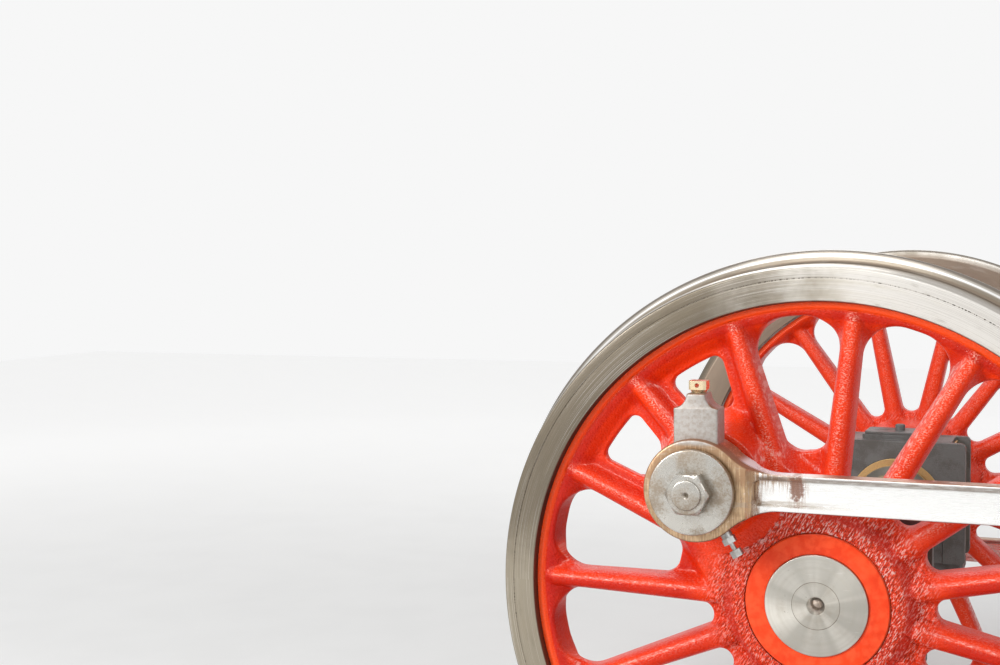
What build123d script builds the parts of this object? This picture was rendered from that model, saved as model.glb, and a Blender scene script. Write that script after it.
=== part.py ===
"""Coupled wheelset of a steam locomotive with its axleboxes and coupling rods.

Millimetres, +X to the locomotive's front, +Y to its left side, +Z up.
The origin is the middle of the axle. "Depth" is measured inward from the
plane of a tyre's outer face, so that the crank pins have negative depths.
"""
import math
import os
from collections import namedtuple

from build123d import *

os.makedirs("parts", exist_ok=True)

# Clearances
SEAT_GAP = 0.05         # pressed or shrunk seats, drawn just clear
RUN_GAP = 0.08          # running fits of journals and pins
FACE_GAP = 0.3          # between faces that stop each other
SIDE_PLAY = 3.0         # of a bearing between its collars

# Tyres and their places
BACK_TO_BACK = 1360.0
TYRE_WIDTH = 140.0
TYRE_THICKNESS = 70.0
TREAD_RADIUS = 700.0
TAPE_LINE = 70.0        # depth where the tread radius is measured
TREAD_CONE = 0.05
FLANGE_HEIGHT = 28.0
FLANGE_WIDTH = 33.0
LIP_WIDTH = 20.0        # outer lip that stops the wheel centre
LIP_HEIGHT = 8.0
RING_WIDTH = 11.0
RING_HEIGHT = 12.0

# Wheel centre
RIM_THICKNESS = 37.0
RIM_WIDTH = 100.0
SPOKE_COUNT = 15
SPOKE_WIDTH = 40.0      # at the rim
SPOKE_DEPTH = 84.0      # at the rim
SPOKE_SWELL = 8.0       # growth of each side towards the hub
SPOKE_MID = 60.0        # depth of the spokes' middle
WEB_WIDTH = 42.0
PLATE_FACE = 56.0       # of the plates beside the crank
PLATE_BACK = 98.0
WINDOW_CORNER = 70.0    # at the rim
HUB_WALL = 100.0
HUB_FACE = -2.0         # depth of the machined ring around the axle
HUB_RING = 40.0         # width of that ring
HUB_LENGTH = 200.0
WEIGHT_SPAN = 3         # windows filled by the balance weight
WEIGHT_CHORD = 436.0
WEIGHT_FACE = 28.0

# Axle
SEAT_RADIUS = 105.7
AXLE_PROUD = 8.0        # the axle stands out of the tyre's face plane
JOURNAL_RADIUS = 100.0
JOURNAL_LENGTH = 202.0
COLLAR_HEIGHT = 12.0
COLLAR_WIDTH = 16.0
AXLE_RADIUS = 92.0

# Cranks
CRANK_RADIUS = 330.0
PIN_SEAT_RADIUS = 75.0
PIN_RADIUS = 65.0
PIN_COLLAR = 23.0
BOSS_WALL = 37.0
BOSS_FACE = -40.0
BOSS_BACK = 126.0

# Coupling rods
ROD_DEPTH = -100.0
ROD_LENGTH = 1650.0
EYE_WALL = 20.0
EYE_WIDTH = 100.0
BEAM_HEIGHT = 74.0
BEAM_WIDTH = 40.0
FLUTE_EDGE = 12.0
FLUTE_DEPTH = 12.0
FLUTE_START = 116.0     # from the pins, so that they cut into the necks
NECK_RADIUS = 150.0
NECK_FILLET = 60.0      # from the eyes' thickness down to the beam's
BUSH_WALL = 19.0
BUSH_PROUD = 2.0
LUG_WIDTH = 92.0
LUG_TOP = 38.0          # width under the oil cup
LUG_HOLLOW = 30.0       # radius of the hollow shoulders
LUG_THICKNESS = 60.0
LUG_HEIGHT = 90.0       # above the eye
CUP_SIZE = 36.0         # across flats
CUP_HEIGHT = 18.0
CUP_BEVEL = 7.0         # round underside of the block

# Pin nuts
SPIGOT_RADIUS = 30.0
WASHER_WIDTH = 16.0
NUT_WIDTH = 30.0
NUT_CORNER = 46.0

# Axleboxes
BOX_WIDTH = 190.0
BOX_HALF = 150.0
BRASS_WALL = 30.0
BOX_CROWN = 50.0        # above the brass
BOX_LEG = 65.0          # below the journal
BOX_FLANGE = 40.0
FLANGE_PLATE = 24.0
LINER = 6.0
PAD_HEIGHT = 14.0
LID_PLATE = 7.0
STRAP_PLATE = 28.0
HANGER_RADIUS = 25.0
HANGER_DROP = 39.0      # from the strap's underside to the pin
EAR_RADIUS = 46.0
EAR_WIDTH = 26.0
EAR_GAP = 64.0

# Sizes that follow from those
FACE_Y = BACK_TO_BACK / 2 + TYRE_WIDTH
RIM_RADIUS = TREAD_RADIUS - TYRE_THICKNESS
RIM_BACK = LIP_WIDTH + RIM_WIDTH
SPOKE_STEP = 360.0 / SPOKE_COUNT
HUB_RADIUS = SEAT_RADIUS + HUB_WALL
HUB_BACK = HUB_FACE + HUB_LENGTH
WINDOW_OUTER = RIM_RADIUS - RIM_THICKNESS + 2.0
WINDOW_INNER = HUB_RADIUS + 26.0
BOSS_RADIUS = PIN_SEAT_RADIUS + BOSS_WALL
PIN_COLLAR_RADIUS = PIN_RADIUS + PIN_COLLAR
BUSH_RADIUS = PIN_RADIUS + BUSH_WALL
BUSH_WIDTH = EYE_WIDTH + 2 * BUSH_PROUD
EYE_RADIUS = BUSH_RADIUS + EYE_WALL
JOURNAL_OUT = FACE_Y - HUB_BACK - 6.0
JOURNAL_IN = JOURNAL_OUT - JOURNAL_LENGTH
BRASS_RADIUS = JOURNAL_RADIUS + BRASS_WALL
BOX_Y = (JOURNAL_OUT + JOURNAL_IN) / 2
BOX_TOP = BRASS_RADIUS + BOX_CROWN
BOX_BOTTOM = -(JOURNAL_RADIUS + BOX_LEG)
FLANGE_HALF = BOX_HALF + BOX_FLANGE
STRAP_BOTTOM = BOX_BOTTOM - STRAP_PLATE
HANGER_Z = STRAP_BOTTOM - HANGER_DROP

Side = namedtuple("Side", "name sign crank")
SIDES = (
    Side("right", -1, 131.5),
    Side("left", 1, 221.5),
)


def save(piece, label):
    """Name a finished piece and write it."""
    piece.part.label = label
    export_step(piece.part, f"parts/{label}.step")


def wheel_plane(side, depth, x=0.0, z=0.0):
    """Plane across the axle at a depth, its normal pointing out of the locomotive."""
    return Plane(
        origin=(x, side.sign * (FACE_Y - depth), z),
        x_dir=(-side.sign, 0, 0),
        z_dir=(0, side.sign, 0),
    )


def local_angle(side, angle):
    """Angle of a row direction as seen in the wheel plane of that side."""
    return angle if side.sign < 0 else 180.0 - angle


def polar(radius, angle):
    """Point at a radius and an angle in degrees."""
    turn = math.radians(angle)
    return (radius * math.cos(turn), radius * math.sin(turn))


def pin_place(side):
    """Row X and Z of the crank pin's axis."""
    return polar(CRANK_RADIUS, side.crank)


def section(side, rows):
    """Depths and radii as row radius and Y, for a turned section."""
    return [(radius, side.sign * (FACE_Y - depth)) for depth, radius in rows]


def make_tyre(side):
    """Steel tyre: coned tread, flange, outer lip, and a rolled-in lip behind the ring."""
    flange_radius = TREAD_RADIUS + FLANGE_HEIGHT
    flange_start = TYRE_WIDTH - FLANGE_WIDTH - 6.0

    def tread(depth):
        return TREAD_RADIUS + TREAD_CONE * (depth - TAPE_LINE)

    rows = (
        (0, tread(0)),
        (flange_start, tread(flange_start)),
        (TYRE_WIDTH - FLANGE_WIDTH + 11.0, flange_radius),
        (TYRE_WIDTH - 11.0, flange_radius),
        (TYRE_WIDTH, flange_radius - 24.0),
        (TYRE_WIDTH, RIM_RADIUS - LIP_HEIGHT),
        (RIM_BACK + RING_WIDTH, RIM_RADIUS - LIP_HEIGHT),
        (RIM_BACK + RING_WIDTH, RIM_RADIUS),
        (LIP_WIDTH, RIM_RADIUS),
        (LIP_WIDTH, RIM_RADIUS - LIP_HEIGHT),
        (0, RIM_RADIUS - LIP_HEIGHT + 3.0),
    )
    with BuildPart() as tyre:
        with BuildSketch(Plane.XY):
            Polygon(*section(side, rows), align=None)
        revolve(axis=Axis.Y)
    save(tyre, f"tyre_{side.name}")


def make_ring(side):
    """Retaining ring held between the rim's back and the tyre's rolled-in lip."""
    outer = RIM_RADIUS - SEAT_GAP
    front = RIM_BACK + SEAT_GAP
    back = RIM_BACK + RING_WIDTH - SEAT_GAP
    rows = ((front, outer - RING_HEIGHT), (back, outer - RING_HEIGHT), (back, outer), (front, outer))
    with BuildPart() as ring:
        with BuildSketch(Plane.XY):
            Polygon(*section(side, rows), align=None)
        revolve(axis=Axis.Y)
    save(ring, f"retaining_ring_{side.name}")


def window(inner, outer, margin, inner_corner, outer_corner):
    """Opening between two spokes, lying about the local X axis."""
    half = math.radians(SPOKE_STEP / 2)
    shift = margin / math.sin(half)
    reach = 1.2 * outer
    corner = (reach * math.cos(half) + shift, reach * math.sin(half))
    with BuildSketch() as shape:
        Circle(outer)
        Circle(inner, mode=Mode.SUBTRACT)
        Polygon((shift, 0), (corner[0], -corner[1]), corner, align=None, mode=Mode.INTERSECT)
        middle = (inner + outer) / 2
        near = [v for v in shape.vertices() if math.hypot(v.X, v.Y) < middle]
        fillet(near, inner_corner)
        far = [v for v in shape.vertices() if math.hypot(v.X, v.Y) > outer - outer_corner / 4]
        fillet(far, outer_corner)
    return shape.sketch


def make_wheel_centre(side):
    """Cast wheel centre: hub, spokes, rim, crank boss with its web, balance weight."""
    crank = local_angle(side, side.crank)
    pin = polar(CRANK_RADIUS, crank)
    away = crank + 180.0
    margin = SPOKE_WIDTH / 2 - 3.0
    boss_reach = CRANK_RADIUS + BOSS_RADIUS
    web_back = SPOKE_MID + WEB_WIDTH / 2
    plate_radius = CRANK_RADIUS - 20.0
    rim_inner = RIM_RADIUS - RIM_THICKNESS
    normal = window(WINDOW_INNER, WINDOW_OUTER, margin, 26.0, WINDOW_CORNER)
    raised = window(plate_radius, WINDOW_OUTER, margin, 40.0, WINDOW_CORNER)
    small = window(boss_reach, WINDOW_OUTER - 33.0, margin + 29.0, 20.0, 20.0)
    heavy = window(WINDOW_INNER, WEIGHT_CHORD + 4.0, margin, 26.0, 40.0)
    plate = window(HUB_RADIUS - 12.0, WINDOW_OUTER + 5.0, margin - 5.0, 18.0, WINDOW_CORNER - 5.0)
    beside_crank = ((0, small), (1, raised), (SPOKE_COUNT - 2, raised), (SPOKE_COUNT - 1, small))
    opposite = (SPOKE_COUNT - WEIGHT_SPAN) // 2
    weighted = range(opposite, opposite + WEIGHT_SPAN)
    with BuildPart() as centre:
        # Rim with a narrow raised edge against the tyre
        rows = (
            (LIP_WIDTH + FACE_GAP, RIM_RADIUS - SEAT_GAP),
            (RIM_BACK, RIM_RADIUS - SEAT_GAP),
            (RIM_BACK, rim_inner + 13.0),
            (RIM_BACK - 12.0, rim_inner),
            (LIP_WIDTH + 14.0, rim_inner),
            (LIP_WIDTH + 6.0, rim_inner + 6.0),
            (LIP_WIDTH + 6.0, rim_inner + 18.0),
            (LIP_WIDTH + FACE_GAP, rim_inner + 20.0),
        )
        with BuildSketch(Plane.XY):
            Polygon(*section(side, rows), align=None)
        revolve(axis=Axis.Y)
        # Hub
        bore = SEAT_RADIUS - 10.0
        rows = (
            (HUB_FACE, bore),
            (HUB_FACE, SEAT_RADIUS + HUB_RING),
            (HUB_FACE + 6.0, SEAT_RADIUS + HUB_RING + 2.0),
            (HUB_FACE + 6.0, HUB_RADIUS - 36.0),
            (HUB_FACE + 14.0, HUB_RADIUS - 20.0),
            (HUB_FACE + 32.0, HUB_RADIUS - 8.0),
            (SPOKE_MID, HUB_RADIUS),
            (SPOKE_MID + 50.0, HUB_RADIUS),
            (HUB_BACK - 8.0, HUB_RADIUS - 14.0),
            (HUB_BACK, HUB_RADIUS - 22.0),
            (HUB_BACK, bore),
        )
        with BuildSketch(Plane.XY):
            Polygon(*section(side, rows), align=None)
        revolve(axis=Axis.Y)
        # Web that rounds the ends of the windows
        with BuildSketch(wheel_plane(side, web_back)):
            Circle(rim_inner + 11.0)
            Circle(HUB_RADIUS - 50.0, mode=Mode.SUBTRACT)
            for step in range(SPOKE_COUNT):
                shape = heavy if step in weighted else normal
                angle = crank + (step + 0.5) * SPOKE_STEP
                add(shape.rotate(Axis.Z, angle), mode=Mode.SUBTRACT)
        extrude(amount=WEB_WIDTH)
        # Plates that half close the windows beside the crank, set back from the web
        for step, shape in beside_crank:
            angle = crank + (step + 0.5) * SPOKE_STEP
            with BuildSketch(wheel_plane(side, PLATE_BACK)):
                add(plate.rotate(Axis.Z, angle))
                add(shape.rotate(Axis.Z, angle), mode=Mode.SUBTRACT)
            extrude(amount=PLATE_BACK - PLATE_FACE)
        # Spokes, drawn from the hub outward and growing thinner
        spoke_start = HUB_RADIUS - 40.0
        spoke_length = rim_inner + 11.0 - spoke_start
        lean = math.degrees(math.atan(SPOKE_SWELL / spoke_length))
        middle = wheel_plane(side, SPOKE_MID)
        for step in range(SPOKE_COUNT):
            out = polar(1.0, crank + step * SPOKE_STEP)
            start = middle.from_local_coords(Vector(out[0] * spoke_start, out[1] * spoke_start, 0))
            direction = start - middle.origin
            with BuildSketch(Plane(origin=start, x_dir=middle.z_dir, z_dir=direction)):
                SlotOverall(SPOKE_DEPTH + 2 * SPOKE_SWELL, SPOKE_WIDTH + 2 * SPOKE_SWELL)
            extrude(amount=spoke_length, taper=lean)
        # Web between hub and crank boss, with straight tangent sides
        hub_round = HUB_RADIUS - 16.0
        boss_round = BOSS_RADIUS + 16.0
        swing = math.degrees(math.acos((hub_round - boss_round) / CRANK_RADIUS))
        web_depth = BOSS_BACK - 8.0
        with BuildSketch(wheel_plane(side, web_depth)):
            with BuildLine():
                hub_low = Vector(*polar(hub_round, crank - swing))
                hub_high = Vector(*polar(hub_round, crank + swing))
                boss_low = Vector(*pin) + Vector(*polar(boss_round, crank - swing))
                boss_high = Vector(*pin) + Vector(*polar(boss_round, crank + swing))
                Line(hub_low, boss_low)
                ThreePointArc(boss_low, polar(CRANK_RADIUS + boss_round, crank), boss_high)
                Line(boss_high, hub_high)
                Line(hub_high, hub_low)
            make_face()
        extrude(amount=web_depth - 8.0)
        # Crank boss, drawn with a casting taper
        with BuildSketch(wheel_plane(side, BOSS_BACK)):
            with Locations(pin):
                Circle(BOSS_RADIUS + 14.0)
        extrude(amount=BOSS_BACK - BOSS_FACE, taper=4.5)
        # Balance weight opposite the crank
        far = 2.5 * RIM_RADIUS
        half_span = WEIGHT_SPAN * SPOKE_STEP / 2
        chord_end = WEIGHT_CHORD / math.cos(math.radians(half_span))
        with BuildSketch(wheel_plane(side, BOSS_BACK)):
            Circle(rim_inner + 11.0)
            Polygon(
                polar(chord_end, away - half_span),
                polar(far, away - half_span),
                polar(far * 1.4, away),
                polar(far, away + half_span),
                polar(chord_end, away + half_span),
                align=None,
                mode=Mode.INTERSECT,
            )
        extrude(amount=BOSS_BACK - WEIGHT_FACE)
        # Bores of the axle and the crank pin
        long_enough = HUB_LENGTH - BOSS_FACE + 20.0
        with BuildSketch(wheel_plane(side, HUB_BACK + 5.0)):
            Circle(SEAT_RADIUS + SEAT_GAP)
        extrude(amount=long_enough, mode=Mode.SUBTRACT)
        with BuildSketch(wheel_plane(side, HUB_BACK + 5.0)):
            with Locations(pin):
                Circle(PIN_SEAT_RADIUS + SEAT_GAP)
        extrude(amount=long_enough, mode=Mode.SUBTRACT)
    save(centre, f"wheel_centre_{side.name}")


def make_axle():
    """Axle with wheel seats, journals, collars and turning centres."""
    end = FACE_Y + AXLE_PROUD
    collar = JOURNAL_RADIUS + COLLAR_HEIGHT
    half = (
        (end, 0.0),
        (end, SEAT_RADIUS - 3.0),
        (end - 3.0, SEAT_RADIUS),
        (JOURNAL_OUT + 4.0, SEAT_RADIUS),
        (JOURNAL_OUT, JOURNAL_RADIUS),
        (JOURNAL_IN, JOURNAL_RADIUS),
        (JOURNAL_IN - 4.0, collar),
        (JOURNAL_IN - 4.0 - COLLAR_WIDTH, collar),
        (JOURNAL_IN - 44.0 - COLLAR_WIDTH, AXLE_RADIUS),
    )
    with BuildPart() as axle:
        with BuildSketch(Plane.XY):
            outline = [(radius, along) for along, radius in half]
            outline += [(radius, -along) for along, radius in reversed(half)]
            Polygon(*outline, align=None)
        revolve(axis=Axis.Y)
        for sign in (-1, 1):
            centre_hole = (
                (0, sign * end),
                (19.0, sign * end),
                (11.0, sign * (end - 10.0)),
                (11.0, sign * (end - 34.0)),
                (0, sign * (end - 41.0)),
            )
            with BuildSketch(Plane.XY):
                Polygon(*centre_hole, align=None)
            revolve(axis=Axis.Y, mode=Mode.SUBTRACT)
    save(axle, "axle")


def make_crank_pin(side):
    """Crank pin pressed into its boss, with a collar inside the rod and a spigot outside it."""
    x, z = pin_place(side)
    centre = Vector(x, 0, z)
    seat_end = BOSS_BACK - 2.0
    inner = ROD_DEPTH + BUSH_WIDTH / 2 + SIDE_PLAY
    outer = ROD_DEPTH - BUSH_WIDTH / 2 - SIDE_PLAY
    end = outer - WASHER_WIDTH - NUT_WIDTH - 6.0
    rows = (
        (seat_end, 0.0),
        (seat_end, PIN_SEAT_RADIUS - 3.0),
        (seat_end - 3.0, PIN_SEAT_RADIUS),
        (BOSS_FACE - FACE_GAP, PIN_SEAT_RADIUS),
        (BOSS_FACE - FACE_GAP, PIN_COLLAR_RADIUS),
        (inner, PIN_COLLAR_RADIUS),
        (inner, PIN_RADIUS),
        (outer, PIN_RADIUS),
        (outer, SPIGOT_RADIUS),
        (end + 3.0, SPIGOT_RADIUS),
        (end, SPIGOT_RADIUS - 3.0),
        (end, 0.0),
    )
    with BuildPart() as pin:
        with BuildSketch(Plane(origin=centre, x_dir=(1, 0, 0), z_dir=(0, 0, 1))):
            Polygon(*section(side, rows), align=None)
        revolve(axis=Axis(centre, (0, 1, 0)))
    save(pin, f"crank_pin_{side.name}")


def make_pin_nut(side):
    """Washer and nut, in one piece, that hold the rod on the crank pin."""
    x, z = pin_place(side)
    start = ROD_DEPTH - BUSH_WIDTH / 2 - SIDE_PLAY - FACE_GAP
    with BuildPart() as nut:
        with BuildSketch(wheel_plane(side, start, x, z)):
            Circle(PIN_COLLAR_RADIUS - 2.0)
        extrude(amount=WASHER_WIDTH)
        chamfer(nut.faces().sort_by(Axis.Y)[0 if side.sign < 0 else -1].edges(), 3.0)
        with BuildSketch(wheel_plane(side, start - WASHER_WIDTH, x, z)):
            RegularPolygon(NUT_CORNER, 6)
        extrude(amount=NUT_WIDTH)
        with BuildSketch(wheel_plane(side, start, x, z)):
            Circle(SPIGOT_RADIUS + SEAT_GAP)
        extrude(amount=WASHER_WIDTH + NUT_WIDTH, mode=Mode.SUBTRACT)
    save(nut, f"pin_nut_{side.name}")


def make_rod(side):
    """Coupling rod: two thick eyes, a fluted beam, a lug on top of each eye."""
    x, z = pin_place(side)
    mid = ROD_LENGTH / 2
    rod_y = side.sign * (FACE_Y - ROD_DEPTH)
    front_plane = Plane(origin=(x + mid, rod_y, z), x_dir=(1, 0, 0), z_dir=(0, -1, 0))
    top_plane = Plane(origin=(x + mid, rod_y, z))
    eyes = ((-mid, 0), (mid, 0))
    with BuildPart() as rod:
        with BuildSketch(front_plane) as front:
            with Locations(*eyes):
                Circle(EYE_RADIUS)
            Rectangle(ROD_LENGTH, BEAM_HEIGHT)
            necks = [
                v for v in front.vertices()
                if 0 < mid - abs(v.X - (x + mid)) < EYE_RADIUS and abs(v.Z - z) < EYE_RADIUS
            ]
            fillet(necks, NECK_RADIUS)
        extrude(amount=EYE_WIDTH / 2, both=True)
        # Seen from above the eyes are thicker than the beam
        thick_end = mid - EYE_RADIUS - 2.0
        gain = (EYE_WIDTH - BEAM_WIDTH) / 2
        swing = math.acos(1.0 - gain / NECK_FILLET)
        thin_end = thick_end - NECK_FILLET * math.sin(swing)
        bend = (
            thin_end + NECK_FILLET * math.sin(swing / 2),
            BEAM_WIDTH / 2 + NECK_FILLET * (1.0 - math.cos(swing / 2)),
        )
        with BuildSketch(top_plane):
            with Locations(*eyes):
                Rectangle(2 * (mid - thick_end), EYE_WIDTH)
            Rectangle(ROD_LENGTH, BEAM_WIDTH)
            for end in (-1, 1):
                with BuildLine():
                    Line((end * thick_end, -EYE_WIDTH / 2), (end * thick_end, EYE_WIDTH / 2))
                    for face in (-1, 1):
                        ThreePointArc(
                            (end * thick_end, face * EYE_WIDTH / 2),
                            (end * bend[0], face * bend[1]),
                            (end * thin_end, face * BEAM_WIDTH / 2),
                        )
                    Line((end * thin_end, -BEAM_WIDTH / 2), (end * thin_end, BEAM_WIDTH / 2))
                make_face()
        extrude(amount=EYE_RADIUS + 50.0, both=True, mode=Mode.INTERSECT)
        # Lugs with hollow shoulders
        lug_top = EYE_RADIUS + LUG_HEIGHT
        with BuildSketch(front_plane):
            for end, _ in eyes:
                with Locations((end, 0)):
                    Rectangle(LUG_WIDTH, lug_top, align=(Align.CENTER, Align.MIN))
                reach = LUG_TOP / 2 + LUG_HOLLOW
                with Locations((end - reach, lug_top), (end + reach, lug_top)):
                    Circle(LUG_HOLLOW, mode=Mode.SUBTRACT)
        extrude(amount=LUG_THICKNESS / 2, both=True)
        # Flutes in both faces of the beam
        for face in (-1, 1):
            floor_y = rod_y + face * (BEAM_WIDTH / 2 - FLUTE_DEPTH)
            with BuildSketch(Plane(origin=(x + mid, floor_y, z), x_dir=(1, 0, 0), z_dir=(0, face, 0))):
                RectangleRounded(ROD_LENGTH - 2 * FLUTE_START, BEAM_HEIGHT - 2 * FLUTE_EDGE, FLUTE_EDGE)
            extrude(amount=EYE_WIDTH, mode=Mode.SUBTRACT)
        # Seats of the bushes
        with BuildSketch(front_plane):
            with Locations(*eyes):
                Circle(BUSH_RADIUS + SEAT_GAP)
        extrude(amount=EYE_WIDTH, both=True, mode=Mode.SUBTRACT)
    save(rod, f"coupling_rod_{side.name}")


def make_rod_fittings(side):
    """Bushes, oil cups and set screws of both eyes of a rod."""
    x, z = pin_place(side)
    rod_y = side.sign * (FACE_Y - ROD_DEPTH)
    ends = (("rear", x), ("front", x + ROD_LENGTH))
    for end, end_x in ends:
        with BuildPart() as bush:
            with BuildSketch(wheel_plane(side, ROD_DEPTH, end_x, z)):
                Circle(BUSH_RADIUS)
                Circle(PIN_RADIUS + RUN_GAP, mode=Mode.SUBTRACT)
            extrude(amount=BUSH_WIDTH / 2, both=True)
        save(bush, f"rod_bush_{end}_{side.name}")

    seat = z + EYE_RADIUS + LUG_HEIGHT + SEAT_GAP
    bevel = ((0, 0), (CUP_SIZE / 2 - CUP_BEVEL / 2, 0), (CUP_SIZE / 2, CUP_BEVEL), (0, CUP_BEVEL))
    with BuildPart() as cups:
        for end, end_x in ends:
            foot = Vector(end_x, rod_y, seat)
            with BuildSketch(Plane(origin=foot, x_dir=(1, 0, 0), z_dir=(0, -1, 0))):
                Polygon(*bevel, align=None)
            revolve(axis=Axis(foot, (0, 0, 1)))
            with BuildSketch(Plane(origin=foot + Vector(0, 0, CUP_BEVEL))):
                block = Rectangle(CUP_SIZE, CUP_SIZE)
                chamfer(block.vertices(), 5.0)
            extrude(amount=CUP_HEIGHT)
            middle = foot + Vector(0, 0, CUP_BEVEL + CUP_HEIGHT / 2)
            with BuildSketch(Plane(origin=middle, x_dir=(1, 0, 0), z_dir=(0, 1, 0))):
                Circle(4.5)
            extrude(amount=CUP_SIZE, both=True, mode=Mode.SUBTRACT)
    save(cups, f"oil_cups_{side.name}")

    turn = math.radians(-59.0)
    direction = Vector(math.cos(turn), 0, math.sin(turn))
    Step = namedtuple("Step", "start length radius sides")
    steps = (
        Step(-3.0, 14.0, 12.0, 0),
        Step(11.0, 13.0, 15.0, 6),
        Step(24.0, 15.0, 5.0, 0),
        Step(39.0, 15.0, 13.0, 6),
    )
    with BuildPart() as screws:
        for end, end_x in ends:
            for step in steps:
                place = Vector(end_x, rod_y, z) + direction * (EYE_RADIUS + step.start)
                with BuildSketch(Plane(origin=place, x_dir=(0, 1, 0), z_dir=direction)):
                    if step.sides:
                        RegularPolygon(step.radius, step.sides)
                    else:
                        Circle(step.radius)
                extrude(amount=step.length)
        for end, end_x in ends:
            with BuildSketch(wheel_plane(side, ROD_DEPTH, end_x, z)):
                Circle(EYE_RADIUS + SEAT_GAP)
            extrude(amount=EYE_WIDTH, both=True, mode=Mode.SUBTRACT)
    save(screws, f"set_screws_{side.name}")


def box_outline(half):
    """Front view of an axlebox: open below for the keep, round above for the brass."""
    with Locations((0, (BOX_TOP + BOX_BOTTOM) / 2)):
        Rectangle(2 * half, BOX_TOP - BOX_BOTTOM)
    with Locations((0, BOX_BOTTOM / 2)):
        Rectangle(2 * BRASS_RADIUS, -BOX_BOTTOM, mode=Mode.SUBTRACT)
    Circle(BRASS_RADIUS, mode=Mode.SUBTRACT)


def make_axlebox(side):
    """Axlebox casting, its brass, keep, liners, oil lid and spring strap."""
    mid_y = side.sign * BOX_Y
    front = Plane(origin=(0, mid_y, 0), x_dir=(1, 0, 0), z_dir=(0, -1, 0))
    channel = BOX_WIDTH - 2 * FLANGE_PLATE
    with BuildPart() as box:
        with BuildSketch(front):
            box_outline(BOX_HALF)
        extrude(amount=BOX_WIDTH / 2, both=True)
        for sign in (-1, 1):
            with BuildSketch(front.offset(sign * (BOX_WIDTH - FLANGE_PLATE) / 2)):
                box_outline(FLANGE_HALF)
            extrude(amount=FLANGE_PLATE / 2, both=True)
        corners = [
            edge for edge in box.edges().filter_by(Axis.Y)
            if abs(abs(edge.center().X) - FLANGE_HALF) < 0.1
        ]
        fillet(corners, 14.0)
        with BuildSketch(Plane(origin=(0, mid_y, BOX_TOP))):
            RectangleRounded(4 * BOX_HALF / 3, channel - 12.0, 12.0)
        extrude(amount=PAD_HEIGHT)
    save(box, f"axlebox_{side.name}")

    with BuildPart() as brass:
        with BuildSketch(front):
            Circle(BRASS_RADIUS - SEAT_GAP)
            Circle(JOURNAL_RADIUS + RUN_GAP, mode=Mode.SUBTRACT)
            with Locations((0, -BRASS_RADIUS)):
                Rectangle(4 * BRASS_RADIUS, 2 * BRASS_RADIUS, mode=Mode.SUBTRACT)
        extrude(amount=(JOURNAL_LENGTH - 2 * SIDE_PLAY) / 2, both=True)
    save(brass, f"bearing_brass_{side.name}")

    keep_top = -12.0
    with BuildPart() as keep:
        with BuildSketch(front):
            with Locations((0, (BOX_BOTTOM + keep_top) / 2)):
                Rectangle(2 * (BRASS_RADIUS - SEAT_GAP), keep_top - BOX_BOTTOM)
            Circle(JOURNAL_RADIUS + 8.0, mode=Mode.SUBTRACT)
        extrude(amount=BOX_WIDTH / 2 - 4.0, both=True)
    save(keep, f"keep_{side.name}")

    with BuildPart() as liners:
        for sign in (-1, 1):
            with BuildSketch(Plane(origin=(sign * BOX_HALF, mid_y, 0), x_dir=(0, 1, 0), z_dir=(sign, 0, 0))):
                with Locations((0, sign * (BOX_TOP + BOX_BOTTOM) / 2)):
                    Rectangle(channel - 2 * SEAT_GAP, BOX_TOP - BOX_BOTTOM - 20.0)
            extrude(amount=LINER)
    save(liners, f"horn_liners_{side.name}")

    lid_bottom = BOX_TOP + PAD_HEIGHT
    with BuildPart() as lid:
        with BuildSketch(Plane(origin=(0, mid_y, lid_bottom))):
            RectangleRounded(4 * BOX_HALF / 3 - 12.0, channel - 24.0, 10.0)
        extrude(amount=LID_PLATE)
        with BuildSketch(Plane(origin=(0, mid_y, lid_bottom + LID_PLATE))):
            Circle(14.0)
        extrude(amount=18.0)
        chamfer(lid.faces().sort_by(Axis.Z)[-1].edges(), 3.0)
    save(lid, f"oil_lid_{side.name}")

    with BuildPart() as strap:
        with BuildSketch(Plane(origin=(0, mid_y, STRAP_BOTTOM))):
            RectangleRounded(2 * FLANGE_HALF - 16.0, channel - 12.0, 14.0)
        extrude(amount=STRAP_PLATE)
        for sign in (-1, 1):
            start = sign * EAR_GAP / 2
            ear = Plane(origin=(start, mid_y, 0), x_dir=(0, 1, 0), z_dir=(sign, 0, 0))
            with BuildSketch(ear):
                with Locations((0, sign * HANGER_Z)):
                    Circle(EAR_RADIUS)
                with Locations((0, sign * (HANGER_Z + STRAP_BOTTOM + 2.0) / 2)):
                    Rectangle(2 * EAR_RADIUS, STRAP_BOTTOM + 2.0 - HANGER_Z)
            extrude(amount=EAR_WIDTH)
        with BuildSketch(Plane(origin=(0, mid_y, HANGER_Z), x_dir=(0, 1, 0), z_dir=(1, 0, 0))):
            Circle(HANGER_RADIUS)
        extrude(amount=EAR_GAP / 2 + EAR_WIDTH + 5.0, both=True, mode=Mode.SUBTRACT)
    save(strap, f"spring_strap_{side.name}")


make_axle()
for wheel_side in SIDES:
    make_tyre(wheel_side)
    make_ring(wheel_side)
    make_wheel_centre(wheel_side)
    make_crank_pin(wheel_side)
    make_pin_nut(wheel_side)
    make_rod(wheel_side)
    make_rod_fittings(wheel_side)
    make_axlebox(wheel_side)
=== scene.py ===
"""Looks of a steam locomotive's coupled wheelset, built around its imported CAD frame.

Places are worked out in millimetres on a wheel's own plane and turned into
row metres: +X to the locomotive's front, +Y to its left, +Z up.
"""
import logging
import math
from dataclasses import dataclass
from enum import Enum
from functools import cached_property, reduce

import bmesh
import bpy
import numpy as np
from mathutils import Matrix, Vector


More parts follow.
